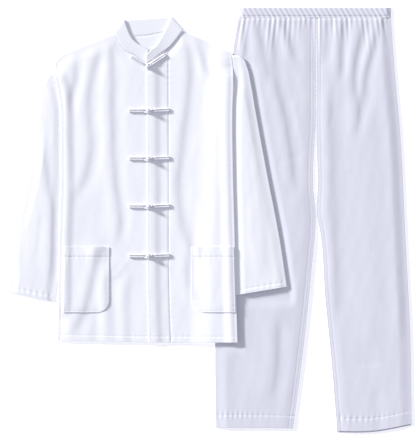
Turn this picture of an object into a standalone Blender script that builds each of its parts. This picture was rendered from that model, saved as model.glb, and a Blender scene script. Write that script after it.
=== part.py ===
"""A tai chi uniform laid flat and seen from above: a stand-collar jacket with five frog buttons and two
patch pockets, lying partly over a pair of trousers with a gathered elastic waist.

Sizes are millimetres until a mesh is made. Each garment is drawn in its own frame, x to the right and
y up, from the jacket's centre front at its hem or from midway between the trouser hems. The cloth lies
on the plane z = 0, face up, so the wearer's right side is on the left.
"""

from collections import namedtuple

import bmesh
import bpy
import numpy as np
from mathutils import Vector
from mathutils.bvhtree import BVHTree

MM = 0.001

# Where each garment's own frame lies on the surface
JACKET_AT = np.array([-151.0, -294.6])
TROUSERS_AT = np.array([253.0, -503.6])
TROUSERS_FROM_JACKET = TROUSERS_AT - JACKET_AT

# Cloth, and the room that folds and neighbours leave
CLOTH = 1.4
COLLAR_CLOTH = 2.2
SEAM_GAP = 0.3
LAYER_GAP = 0.5
FOLD_ROOM = 3.0
SIDE_ROLL = 30.0
TOP_ROLL = 35.0

# Jacket, whose length is 745 from the shoulder's neck point to the hem
JACKET_LEVELS = [0, 35, 73, 94, 131, 171, 208, 230, 270, 315, 360, 405, 450, 495, 540, 580, 615]
FRONT_FAN = 3
UNDERLAP = 12.0
LAP = CLOTH + SEAM_GAP + LAYER_GAP
PLACKET = 50.0
PLACKET_CALM = 0.45
NECK_RIGHT = -80.0
NECK_LEFT = 85.0
SIDE_STEPS = [0, 12, 22, 34]
POCKET_BOTTOM = 73
POCKET_TOP = 230
POCKET_RIGHT = (12.0, 122.0)
POCKET_LEFT = (3.0, 108.0)

# The body's edges lie over the sleeves, and the jacket's left side over a trouser leg
TUCK = 8.0
TUCK_ROOM = 12.0
TUCK_LIFT = 2 * CLOTH + SEAM_GAP + 0.7
TUCK_RAMP = 22.0
ARMPIT = 632.0
PRESSED = 0.15
OVER_TROUSERS = 3 * CLOTH + SEAM_GAP + 0.6
LEG_RAMP = 60.0

# Sleeves
SLEEVE_EDGE = 2 * CLOTH + SEAM_GAP
SLEEVE_BULGE = 1.6
SLEEVE_COLUMNS = 8
SLEEVE_ROWS = 16

# Collar, a band 44 high at the back and 31 at the front
COLLAR_FOLD_RADIUS = 2.1
COLLAR_FOLD_STEPS = 6

# Frogs: a loop from the right front round a ball on the left front
CORD_RADIUS = 2.1
FINE_CORD = 1.6
NECK_CORD = 1.4
BALL_RADIUS = 5.5
BALL_HEIGHT = 7.7
FROG_FROM_EDGE = 3.0

# Trousers, 1018 long with a 732 inside leg
WAIST_TOP = 1014.0
WAIST_SEAM = 989.0
WAIST_ENDS = (-185.0, 180.0)
WAIST_HEIGHT = 5.0
GATHERS = 30
GATHER_DEPTH = 1.1
GATHER_FADE = 130.0
CROTCH = 732.0
LEG_LEVELS = [0, 50, 105, 160, 215, 270, 330, 390, 450, 510, 570, 630, 690, 750, 805, 850]
WAIST_LEVELS = [875, 905, 935, 965]
LEG_COLUMNS = 10
FINE_PER_COLUMN = 3

# Outlines, up from the hem and across from the frame's own centre
Edge = namedtuple("Edge", "height across")

BODY_RIGHT = [
    Edge(0, -216), Edge(264, -211), Edge(374, -208), Edge(487, -208), Edge(566, -209),
    Edge(607, -215), Edge(654, -223), Edge(674, -219), Edge(692, -200),
]
BODY_LEFT = [
    Edge(0, 216), Edge(264, 209), Edge(422, 205), Edge(559, 204), Edge(626, 206), Edge(664, 205),
    Edge(698, 200),
]
CENTRE_FRONT = [Edge(0, 4), Edge(127, 0), Edge(400, -1), Edge(667, -2)]
SLEEVE_RIGHT = [
    Edge(122, -332), Edge(264, -313), Edge(336, -294), Edge(492, -263), Edge(631, -241),
    Edge(667, -222), Edge(692, -200),
]
SLEEVE_LEFT = [
    Edge(134, 335), Edge(247, 318), Edge(408, 287), Edge(566, 258), Edge(624, 248), Edge(662, 239),
    Edge(684, 227), Edge(698, 200),
]
TROUSERS_RIGHT = [
    Edge(0, -240), Edge(204, -242), Edge(312, -238), Edge(552, -228), Edge(792, -211),
    Edge(912, -199), Edge(984, -187),
]
TROUSERS_LEFT = [
    Edge(0, 230), Edge(233, 226), Edge(473, 214), Edge(713, 202), Edge(871, 188), Edge(984, 180),
]
INSEAM_RIGHT = [
    Edge(0, -55), Edge(233, -26), Edge(391, -10), Edge(514, -1), Edge(588, -7), Edge(672, -5),
    Edge(CROTCH, -1.5), Edge(800, -1), Edge(984, -1),
]
INSEAM_LEFT = [
    Edge(0, 50), Edge(192, 34), Edge(312, 22), Edge(490, 7), Edge(514, 2), Edge(588, 4),
    Edge(672, 2), Edge(CROTCH, 0.5), Edge(800, 1), Edge(984, 1),
]

# Hems, necklines and shoulder seams, across and then up
Point = namedtuple("Point", "across height")

JACKET_HEM = [Point(-216, 5), Point(0, 1), Point(216, 0)]
TROUSER_HEM = [Point(-240, 5), Point(-55, 3), Point(50, -3), Point(140, -2), Point(230, 14)]
CUFF_RIGHT = [Point(-332, 122), Point(-220, 98), Point(-196, 94)]
CUFF_LEFT = [Point(190, 110), Point(244, 119), Point(335, 134)]
SHOULDER_RIGHT = [Point(-200, 692), Point(NECK_RIGHT, 742)]
SHOULDER_LEFT = [Point(NECK_LEFT, 749), Point(200, 698)]
FRONT_NECK_RIGHT = [Point(-80, 742), Point(-64, 712), Point(-30, 690), Point(-4, 673), Point(14, 667)]
FRONT_NECK_LEFT = [Point(-4, 671), Point(1, 673), Point(30, 694), Point(54, 711), Point(85, 749)]
BACK_NECK = [Point(-80, 742), Point(-42, 736), Point(6, 739), Point(30, 744), Point(85, 749)]
COLLAR_TOP_RIGHT = [Point(-56, 775), Point(-42, 738), Point(-28, 721), Point(-11, 711), Point(2, 702)]
COLLAR_TOP_LEFT = [Point(-3, 690), Point(6, 701), Point(21, 713), Point(37, 741), Point(56, 782)]

# Folds: a flank falls to the right, a ridge stands up, a crease sinks in; its path is up, across
Fold = namedtuple("Fold", "kind depth width path")

JACKET_FOLDS = [
    Fold("flank", 1.0, 11, [(440, -190), (494, -198), (566, -193), (646, -174), (720, -184)]),
    Fold("flank", 1.1, 13, [(330, -176), (406, -148), (478, -136), (554, -143), (631, -136), (740, -106)]),
    Fold("flank", 1.3, 13, [(225, -70), (295, -66), (391, -78), (535, -85), (631, -85), (760, -91)]),
    Fold("flank", 1.2, 14, [(0, -190), (79, -152), (151, -133), (255, -114)]),
    Fold("crease", 0.9, 9, [(-40, -122), (40, -122), (110, -120)]),
    Fold("ridge", 1.0, 12, [(-30, -96), (60, -98), (150, -104), (215, -74)]),
    Fold("crease", 0.8, 12, [(-30, -78), (60, -78), (150, -84), (205, -58)]),
    Fold("flank", 1.0, 14, [(-40, -48), (103, -46), (185, -36)]),
    Fold("flank", 1.2, 14, [(60, 136), (103, 116), (163, 102), (223, 104), (281, 84), (367, 73), (439, 78),
                            (588, 97), (670, 100), (760, 88)]),
    Fold("flank", 1.1, 10, [(620, 152), (686, 131), (760, 116)]),
    Fold("flank", 0.5, 16, [(440, 176), (583, 184), (690, 179)]),
]
SLEEVE_FOLDS = [
    Fold("flank", 1.2, 13, [(140, -232), (259, -227), (331, -229), (386, -239), (446, -248), (521, -252),
                            (640, -240)]),
    Fold("flank", 0.7, 9, [(150, -310), (247, -306), (290, -301), (360, -290)]),
    Fold("flank", 0.7, 16, [(140, 291), (271, 280), (463, 260), (620, 243)]),
]
TROUSER_FOLDS = [
    Fold("flank", 1.0, 9, [(880, -174), (934, -173), (1000, -172)]),
    Fold("flank", 1.2, 11, [(820, -108), (888, -125), (930, -132), (1000, -150)]),
    Fold("flank", 1.2, 12, [(560, -48), (672, -62), (746, -74), (840, -96), (934, -103), (1000, -108)]),
    Fold("flank", 1.1, 10, [(880, -50), (946, -68), (1000, -90)]),
    Fold("crease", 0.8, 10, [(780, -40), (838, -56), (890, -70)]),
    Fold("flank", 1.0, 12, [(870, 14), (930, 18), (1000, 24)]),
    Fold("flank", 1.1, 10, [(830, 60), (912, 59), (1000, 65)]),
    Fold("flank", 1.2, 11, [(690, 93), (768, 100), (821, 91), (888, 95), (926, 103), (1000, 117)]),
    Fold("flank", 1.1, 10, [(740, 104), (806, 115), (852, 120), (893, 130), (930, 140), (1000, 150)]),
    Fold("flank", 0.9, 9, [(910, 169), (950, 165), (1000, 158)]),
    Fold("flank", 1.2, 18, [(190, 219), (360, 214), (552, 204), (744, 194), (940, 170)]),
    Fold("flank", 1.0, 18, [(240, 46), (432, 46), (672, 38), (830, 36)]),
    Fold("ridge", 0.9, 20, [(170, 120), (343, 137), (552, 132), (790, 118)]),
    Fold("flank", 0.9, 13, [(60, -108), (168, -95), (280, -96)]),
    Fold("ridge", 0.8, 20, [(40, -130), (200, -115), (420, -70), (600, -40)]),
    Fold("crease", 0.6, 14, [(30, -190), (120, -187), (230, -187)]),
    Fold("crease", 0.6, 10, [(-20, 152), (60, 151), (110, 150)]),
]


def ease(t):
    """Smooth step from 0 to 1."""
    t = np.clip(t, 0.0, 1.0)
    return t * t * (3 - 2 * t)


def through(rows, at):
    """A smooth curve through rows of position and value, read at the given positions."""
    position, value = np.array(rows, float).T
    slope = np.gradient(value, position)
    at = np.clip(np.asarray(at, float), position[0], position[-1])
    k = np.clip(np.searchsorted(position, at) - 1, 0, len(position) - 2)
    step = position[k + 1] - position[k]
    t = (at - position[k]) / step
    start = (1 + 2 * t) * (1 - t) ** 2 * value[k] + t * (1 - t) ** 2 * step * slope[k]
    end = t * t * (3 - 2 * t) * value[k + 1] - t * t * (1 - t) * step * slope[k + 1]
    return start + end


def fold_height(fold, x, y):
    """Height of one fold, which fades out over the last quarter of its path at each end."""
    bottom = fold.path[0][0]
    top = fold.path[-1][0]
    fade = min(70.0, 0.25 * (top - bottom))
    lean = (through(fold.path, y + 5) - through(fold.path, y - 5)) / 10
    away = (x - through(fold.path, y)) / (fold.width * np.sqrt(1 + lean ** 2))
    ends = ease((y - bottom) / fade) * ease((top - y) / fade)
    if fold.kind == "flank":
        shape = -away * np.exp(0.5 - 0.5 * away ** 2)
    elif fold.kind == "ridge":
        shape = np.exp(-0.5 * away ** 2)
    else:
        shape = -np.exp(-0.5 * away ** 2)
    return fold.depth * ends * shape


def relief(folds, x, y, calm=1.0):
    """Height of all the folds together over the lowest that the cloth lies, within FOLD_ROOM."""
    total = calm * sum(fold_height(fold, x, y) for fold in folds)
    return FOLD_ROOM * (0.5 + 0.5 * np.tanh(2 * total / FOLD_ROOM))


# Trousers: outline and heights


def trouser_shape(side):
    """Outer and inner edge of a leg panel, side -1 for the wearer's right leg and 1 for the left."""
    if side < 0:
        return TROUSERS_RIGHT, INSEAM_RIGHT
    return TROUSERS_LEFT, INSEAM_LEFT


def under_jacket(x, y):
    """1 where the jacket lies on the trousers, 0 clear of it, in the trousers' frame."""
    jacket_x = x + TROUSERS_FROM_JACKET[0]
    jacket_y = y + TROUSERS_FROM_JACKET[1]
    beside_sleeve = ease((through(SLEEVE_LEFT, jacket_y) + 24 - jacket_x) / 20)
    sleeve = beside_sleeve * ease((jacket_y - 82) / 25) * ease((722 - jacket_y) / 20)
    body = ease((through(BODY_LEFT, jacket_y) + 24 - jacket_x) / 20) * ease((jacket_y + 28) / 25)
    return np.maximum(sleeve, body * ease((722 - jacket_y) / 20))


def trouser_rise(side, x, y):
    """How far a trouser front stands off the back that it lies on: nothing at its seams."""
    outer, inner = trouser_shape(side)
    from_outer = np.abs(x - through(outer, y))
    from_inner = np.abs(x - through(inner, y))
    free = LAYER_GAP + relief(TROUSER_FOLDS, x, y)
    seams = ease(from_outer / SIDE_ROLL) * (0.45 + 0.55 * ease(from_inner / SIDE_ROLL))
    return free * seams * (1 - (1 - PRESSED) * under_jacket(x, y))


def gather_wave(x, y):
    """The waist's gathers, which spread and fade below the waistband."""
    start, end = WAIST_ENDS
    spread = 1 + 0.12 * (WAIST_SEAM - y) / GATHER_FADE
    turns = (x / spread - start) / (end - start) * GATHERS
    fade = ease((y - (WAIST_SEAM - GATHER_FADE)) / GATHER_FADE)
    return GATHER_DEPTH * fade * np.cos(2 * np.pi * turns) * (1 - 0.8 * under_jacket(x, y))


# Jacket: outline and heights


def jacket_side(side):
    """The body's outer edge, side -1 for the wearer's right."""
    return BODY_RIGHT if side < 0 else BODY_LEFT


def leg_below(x, y):
    """Height that the trouser leg below gives the jacket, with a ramp up to it, in the jacket's frame."""
    edge = through(TROUSERS_RIGHT, y - TROUSERS_FROM_JACKET[1]) + TROUSERS_FROM_JACKET[0]
    return OVER_TROUSERS * ease((x - edge + 6 + LEG_RAMP) / LEG_RAMP)


def sleeve_below(x, y):
    """Height that the tucked edges of the sleeves give the body's sides."""
    from_right = x - through(BODY_RIGHT, y)
    from_left = through(BODY_LEFT, y) - x
    below_armpit = ease((ARMPIT + 33 - y) / 33)
    right = ease((TUCK_ROOM + TUCK_RAMP - from_right) / TUCK_RAMP) * ease((y - 50) / 45)
    left = ease((TUCK_ROOM + TUCK_RAMP - from_left) / TUCK_RAMP)
    return TUCK_LIFT * below_armpit * np.maximum(right, left)


def jacket_lift(x, y):
    """Underside of the jacket's back."""
    return leg_below(x, y) + sleeve_below(x, y)


def shoulder_top(side, neck, x):
    """Top edge of a body panel's half: its shoulder seam, then the neckline past the neck point."""
    if side < 0:
        return np.where(x < NECK_RIGHT, through(SHOULDER_RIGHT, x), through(neck, x))
    return np.where(x > NECK_LEFT, through(SHOULDER_LEFT, x), through(neck, x))


def front_low(side, x, y):
    """Underside of a jacket front. The left front's edge lies over the right front's underlap."""
    neck = FRONT_NECK_RIGHT if side < 0 else FRONT_NECK_LEFT
    from_side = np.abs(x - through(jacket_side(side), y))
    from_top = shoulder_top(side, neck, x) - y
    from_centre = x - through(CENTRE_FRONT, y)
    calm = PLACKET_CALM + (1 - PLACKET_CALM) * ease((np.abs(from_centre) - 0.6 * PLACKET) / (0.6 * PLACKET))
    rise = LAYER_GAP + relief(JACKET_FOLDS, x, y, calm)
    rise = rise * ease(from_side / SIDE_ROLL) * (0.3 + 0.7 * ease(from_top / TOP_ROLL))
    if side > 0:
        rise = rise + LAP * ease((UNDERLAP + 22 - from_centre) / 18)
    return jacket_lift(x, y) + CLOTH + SEAM_GAP + rise


# Meshes


def panel_points(left, right, hem, top, columns, levels, fan):
    """x and y of a panel's points: level rows up from its hem, then rows that turn to meet its top."""
    u = np.array(columns)

    def across(y):
        return through(left, y) + u * (through(right, y) - through(left, y))

    x = across(np.full_like(u, levels[0]))
    rows = [(x, through(hem, x))]
    for level in levels[1:]:
        y = np.full_like(u, level)
        rows.append((across(y), y))
    if fan:
        crown = np.full_like(u, levels[-1])
        for _ in range(6):
            crown = top(across(crown))
        for step in range(1, fan + 1):
            y = levels[-1] + (crown - levels[-1]) * step / fan
            rows.append((across(y), y))
    return rows


def join_rows(bm, lower, upper):
    """Faces between two rows of vertices. The upper row may have FINE_PER_COLUMN times the columns."""
    if len(lower) == len(upper):
        for k in range(len(lower) - 1):
            bm.faces.new((lower[k], lower[k + 1], upper[k + 1], upper[k]))
        return
    for k in range(len(lower) - 1):
        fine = upper[k * FINE_PER_COLUMN:(k + 1) * FINE_PER_COLUMN + 1]
        bm.faces.new((lower[k], fine[1], fine[0]))
        bm.faces.new((lower[k], lower[k + 1], fine[2], fine[1]))
        bm.faces.new((lower[k + 1], fine[3], fine[2]))


def add_object(name, mesh, finish):
    """Links a mesh to the uniform's collection under its own name and material."""
    obj = bpy.data.objects.new(name, mesh)
    mesh.materials.append(finish)
    bpy.data.collections["tai_chi_uniform"].objects.link(obj)
    return obj


def wall(name, rows, at, finish, thickness=CLOTH):
    """A cloth wall with its underside on rows of (x, y, low) arrays, and its outer side straight above."""
    bm = bmesh.new()
    lines = []
    for x, y, low in rows:
        points = np.column_stack([x + at[0], y + at[1], low]) * MM
        lines.append([bm.verts.new(point) for point in points])
    for lower, upper in zip(lines, lines[1:]):
        join_rows(bm, lower, upper)
    below = bm.faces[:]
    raised = bmesh.ops.extrude_face_region(bm, geom=below, use_keep_orig=True)["geom"]
    moved = [item for item in raised if isinstance(item, bmesh.types.BMVert)]
    bmesh.ops.translate(bm, verts=moved, vec=(0, 0, thickness * MM))
    bmesh.ops.recalc_face_normals(bm, faces=bm.faces)
    mesh = bpy.data.meshes.new(name)
    bm.to_mesh(mesh)
    bm.free()
    return add_object(name, mesh, finish)


def flat_ring(x, y, low, high, bulge, inset):
    """One section of a flattened tube: along its upper wall, round its far side, back and round again."""
    upper = np.column_stack([x, y, high - inset])
    lower = np.column_stack([x, y, low + inset])[::-1]
    reach = max(bulge - inset, 0.3)

    def side(end, neighbour, downward):
        outward = upper[end] - upper[neighbour]
        outward = outward[:2] / np.hypot(*outward[:2])
        middle = (low[end] + high[end]) / 2
        half = (high[end] - low[end]) / 2 - inset
        turns = np.radians([50, 0, -50] if downward else [-50, 0, 50])
        return [(*(upper[end][:2] + outward * reach * np.cos(a)), middle + half * np.sin(a)) for a in turns]

    return [*upper, *side(-1, -2, True), *lower, *side(0, 1, False)]


def tube(name, sections, at, finish, bulge):
    """A flattened open tube of cloth, lofted through sections of (x, y, low, high) arrays."""
    bm = bmesh.new()

    def loft(inset):
        rings = []
        for x, y, low, high in sections:
            ring = flat_ring(x, y, low, high, bulge, inset)
            rings.append([bm.verts.new(((p[0] + at[0]) * MM, (p[1] + at[1]) * MM, p[2] * MM)) for p in ring])
        for one, two in zip(rings, rings[1:]):
            for k in range(len(one)):
                after = (k + 1) % len(one)
                bm.faces.new((one[k], one[after], two[after], two[k]))
        return rings

    outer = loft(0.0)
    inner = loft(CLOTH)
    for end in (0, -1):
        for k in range(len(outer[end])):
            after = (k + 1) % len(outer[end])
            bm.faces.new((outer[end][k], outer[end][after], inner[end][after], inner[end][k]))
    bmesh.ops.recalc_face_normals(bm, faces=bm.faces)
    mesh = bpy.data.meshes.new(name)
    bm.to_mesh(mesh)
    bm.free()
    return add_object(name, mesh, finish)


def material(name, color, roughness):
    """A plain cloth finish."""
    finish = bpy.data.materials.new(name)
    finish.use_nodes = True
    shader = finish.node_tree.nodes["Principled BSDF"]
    shader.inputs["Base Color"].default_value = (*color, 1.0)
    shader.inputs["Roughness"].default_value = roughness
    shader.inputs["Metallic"].default_value = 0.0
    return finish


def jacket_finish(name):
    """White cotton."""
    return material(name, (0.90, 0.91, 0.94), 0.85)


def trouser_finish(name):
    """White cotton with a faint lavender cast."""
    return material(name, (0.82, 0.82, 0.87), 0.85)


def cord_finish(name):
    """White bias-cut cord."""
    return material(name, (0.92, 0.92, 0.94), 0.7)


# Trousers: pieces


def leg_columns(count):
    """Even column positions across a panel."""
    return np.linspace(0, 1, count + 1)


def leg_rows(side):
    """x and y of a trouser panel's rows, with finer rows towards the gathers, and its seam gap."""
    outer, inner = trouser_shape(side)
    gap = SEAM_GAP / 2 * side
    inner = [Edge(height, across + gap) for height, across in inner]
    left, right = (outer, inner) if side < 0 else (inner, outer)
    coarse = panel_points(left, right, TROUSER_HEM, None, leg_columns(LEG_COLUMNS), LEG_LEVELS, 0)
    fine_u = leg_columns(LEG_COLUMNS * FINE_PER_COLUMN)
    for level in [*WAIST_LEVELS, WAIST_SEAM - SEAM_GAP]:
        y = np.full_like(fine_u, level)
        coarse.append((through(left, y) + fine_u * (through(right, y) - through(left, y)), y))
    return coarse


def make_trouser_front(side, word):
    """A front leg panel with its folds, and gathers below the waistband."""
    rows = []
    for x, y in leg_rows(side):
        rise = trouser_rise(side, x, y)
        if y[-1] >= WAIST_LEVELS[0]:
            rise = rise + gather_wave(x, y) * ease(rise / (1.2 * GATHER_DEPTH))
        rows.append((x, y, CLOTH + SEAM_GAP + rise))
    name = "trouser_front_" + word
    return wall(name, rows, TROUSERS_AT, trouser_finish(name))


def make_trouser_back(side, word):
    """A back leg panel, flat on the surface. The left one shows 3 below the front's hem."""
    outer, inner = trouser_shape(side)
    gap = SEAM_GAP / 2 * side
    inner = [Edge(height, across + gap) for height, across in inner]
    outer = [Edge(height, across - side) for height, across in outer]
    left, right = (outer, inner) if side < 0 else (inner, outer)
    drop = 0 if side < 0 else 3
    hem = [Point(across, height - drop) for across, height in TROUSER_HEM]
    levels = [*LEG_LEVELS, WAIST_SEAM - SEAM_GAP]
    points = panel_points(left, right, hem, None, leg_columns(5), levels, 0)
    name = "trouser_back_" + word
    return wall(name, [(x, y, np.zeros_like(x)) for x, y in points], TROUSERS_AT, trouser_finish(name))


def make_waistband():
    """The elastic waist: a flattened ring of cloth, gathered in front and flat where it rests."""
    start, end = WAIST_ENDS
    x = np.linspace(start + SLEEVE_BULGE, end - SLEEVE_BULGE, 2 * GATHERS + 1)
    crest = np.cos(2 * np.pi * (x - start) / (end - start) * GATHERS)
    flat_ends = ease((x - start) / 12) * ease((end - x) / 12)
    sections = []
    for height in (WAIST_SEAM, WAIST_SEAM + 9, WAIST_TOP - 7, WAIST_TOP):
        depth = GATHER_DEPTH * (0.6 if height in (WAIST_SEAM, WAIST_TOP) else 1.0)
        high = SLEEVE_EDGE + (WAIST_HEIGHT - SLEEVE_EDGE + depth * crest) * flat_ends
        sections.append((x, np.full_like(x, height), np.zeros_like(x), high))
    return tube("waistband", sections, TROUSERS_AT, trouser_finish("waistband"), SLEEVE_BULGE)


# Jacket: pieces


def front_columns(side):
    """Column positions of a jacket front, on its pocket's sides, at its neck point and near its side."""
    level = POCKET_BOTTOM
    edge = through(jacket_side(side), level)
    centre = through(CENTRE_FRONT, level)
    width = abs(centre - edge) + (UNDERLAP if side < 0 else 0.0)
    near, far = POCKET_RIGHT if side < 0 else POCKET_LEFT
    neck_level = 745.0
    neck_edge = through(jacket_side(side), neck_level)
    neck_centre = through(CENTRE_FRONT, neck_level) + (UNDERLAP if side < 0 else 0.0)
    neck = (neck_edge - (NECK_RIGHT if side < 0 else NECK_LEFT)) / (neck_edge - neck_centre)
    sides = sorted({0.0, near, 12.0, 22.0, 34.0})
    pocket = np.linspace(34.0, far, 7)[1:]
    from_side = np.array([*sides, *pocket]) / width
    if neck - from_side[-1] < 0.01:
        neck_steps = np.linspace(from_side[-1], 1, 7)[1:]
        from_side[-1] = neck
    else:
        neck_steps = [neck, *np.linspace(neck, 1, 7)[1:]]
    columns = np.array([*from_side, *neck_steps])
    return columns, near / width, far / width, neck


def front_points(side):
    """x and y of a front's rows from left to right, and its columns' positions from its side."""
    columns, near, far, neck = front_columns(side)
    centre = [Edge(h, a + (UNDERLAP if side < 0 else 0.0)) for h, a in CENTRE_FRONT]
    neckline = FRONT_NECK_RIGHT if side < 0 else FRONT_NECK_LEFT

    def top(x):
        return shoulder_top(side, neckline, x)

    rows = panel_points(jacket_side(side), centre, JACKET_HEM, top, columns, JACKET_LEVELS, FRONT_FAN)
    return rows, columns, near, far, neck


def make_front(side, word):
    """A jacket front. Returns its rows, for the pieces that lie on it or are sewn to it."""
    points, columns, near, far, neck = front_points(side)
    rows = [(x, y, front_low(side, x, y)) for x, y in points]
    name = "front_" + word
    obj = wall(name, rows, JACKET_AT, jacket_finish(name))
    return obj, rows, columns, near, far, neck


def make_pocket(word, rows, columns, near, far):
    """A patch pocket made from the front's own points, moved out, with its inner lower corner cut off."""
    first = int(np.argmin(np.abs(columns - near)))
    last = int(np.argmin(np.abs(columns - far)))
    low_row = JACKET_LEVELS.index(POCKET_BOTTOM)
    high_row = JACKET_LEVELS.index(POCKET_TOP)
    bm = bmesh.new()
    lines = []
    for x, y, low in rows[low_row:high_row + 1]:
        height = low[first:last + 1] + CLOTH + LAYER_GAP
        points = np.column_stack([x[first:last + 1] + JACKET_AT[0], y[first:last + 1] + JACKET_AT[1], height])
        lines.append([bm.verts.new(point * MM) for point in points])
    for lower, upper in zip(lines, lines[1:]):
        join_rows(bm, lower, upper)
    corner = lines[0][-1]
    kept = (lines[0][-2], lines[1][-1], lines[1][-2])
    bmesh.ops.delete(bm, geom=[corner], context="VERTS")
    bm.faces.new(kept)
    below = bm.faces[:]
    raised = bmesh.ops.extrude_face_region(bm, geom=below, use_keep_orig=True)["geom"]
    moved = [item for item in raised if isinstance(item, bmesh.types.BMVert)]
    bmesh.ops.translate(bm, verts=moved, vec=(0, 0, CLOTH * MM))
    bmesh.ops.recalc_face_normals(bm, faces=bm.faces)
    name = "pocket_" + word
    mesh = bpy.data.meshes.new(name)
    bm.to_mesh(mesh)
    bm.free()
    return add_object(name, mesh, jacket_finish(name))


def make_back():
    """The jacket's back, flat on the surface and lifted where it lies on a sleeve or the trousers."""
    right = [Edge(height, across + 1) for height, across in BODY_RIGHT]
    left = [Edge(height, across - 1) for height, across in BODY_LEFT]
    level = 745.0
    edge_right = through(right, level)
    width = through(left, level) - edge_right
    from_right = [*SIDE_STEPS, 62, 90, NECK_RIGHT - edge_right]
    across_neck = np.linspace(NECK_RIGHT - edge_right, NECK_LEFT - edge_right, 7)[1:]
    to_left = np.linspace(NECK_LEFT - edge_right, width - SIDE_STEPS[-1], 7)[1:]
    from_left = [width - step for step in SIDE_STEPS[-2::-1]]
    columns = np.array([*from_right, *across_neck, *to_left, *from_left]) / width

    def top(x):
        over_right = shoulder_top(-1, BACK_NECK, x)
        return np.where(x > NECK_LEFT, shoulder_top(1, BACK_NECK, x), over_right)

    points = panel_points(right, left, JACKET_HEM, top, columns, JACKET_LEVELS, FRONT_FAN)
    rows = [(x, y, jacket_lift(x, y)) for x, y in points]
    name = "jacket_back"
    obj = wall(name, rows, JACKET_AT, jacket_finish(name))
    return obj, rows, columns * width + edge_right


def make_sleeve(side, word):
    """A sleeve laid down beside the body: a flat tube whose inner edge tucks under the body's side."""
    outline = SLEEVE_RIGHT if side < 0 else SLEEVE_LEFT
    cuff = CUFF_RIGHT if side < 0 else CUFF_LEFT
    top = 646.0 if side < 0 else 690.0
    u = np.linspace(0, 1, SLEEVE_COLUMNS)

    def reach(y):
        """How far the sleeve goes in under the body's edge."""
        tucked = -LAYER_GAP + (TUCK + LAYER_GAP) * ease((ARMPIT - y) / 50)
        if side < 0:
            tucked = tucked - (TUCK + 4) * ease((200 - y) / 90)
        return tucked

    def across(y):
        out = through(outline, y) - side * SLEEVE_BULGE
        tucked = through(jacket_side(side), y) - side * (reach(y) - SLEEVE_BULGE)
        return out + u * (tucked - out)

    sections = []
    for step in 1 - np.linspace(0, 1, SLEEVE_ROWS + 1) ** 1.3:
        y = np.full_like(u, 400.0)
        for _ in range(8):
            hem = through(cuff, across(y))
            y = hem + (top - hem) * step
        x = across(y)
        from_out = np.abs(x - x[0])
        from_in = np.abs(x - x[-1])
        sides = ease(from_out / 22) * ease((from_in - 8) / 22)
        low = leg_below(x, y)
        high = low + SLEEVE_EDGE + (LAYER_GAP + relief(SLEEVE_FOLDS, x, y)) * sides
        if side > 0:
            x, y, low, high = x[::-1], y[::-1], low[::-1], high[::-1]
        sections.append((x, y, low, high))
    name = "sleeve_" + word
    return tube(name, sections, JACKET_AT, jacket_finish(name), SLEEVE_BULGE)


# Collar


def row_top(rows, chosen):
    """The top row's points of a panel, for the chosen columns, halfway up its cloth."""
    x, y, low = rows[-1]
    return np.column_stack([x[chosen], y[chosen], low[chosen] + CLOTH / 2])


def collar_half(seam, top_line, seam_high, top_high):
    """Stations of a front half: each runs from the neck seam to the band's top edge, both as points."""
    along = np.linspace(0, 1, len(seam))
    stations = []
    for k, share in enumerate(along):
        at = top_line[0].across + share * (top_line[-1].across - top_line[0].across)
        edge = np.array([at, float(through(top_line, at)), top_high(share)])
        foot = np.array([seam[k][0], seam[k][1], seam_high(share)])
        up = edge[:2] - foot[:2]
        foot[:2] += up / np.hypot(*up) * (SEAM_GAP + 0.2)
        stations.append((foot, edge))
    return stations


def collar_turn(foot, edge, outward, over_to_under):
    """Stations round a side fold, whose axis runs from foot to edge."""
    angles = np.radians(np.linspace(90, -90, COLLAR_FOLD_STEPS + 1))[1:-1]
    if not over_to_under:
        angles = angles[::-1]
    middle = COLLAR_CLOTH / 2 + COLLAR_FOLD_RADIUS
    stations = []
    for angle in angles:
        shift = outward * COLLAR_FOLD_RADIUS * np.cos(angle)
        height = middle + COLLAR_FOLD_RADIUS * np.sin(angle)
        stations.append(tuple(np.array([*(p[:2] + shift), height]) for p in (foot, edge)))
    return stations


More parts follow.
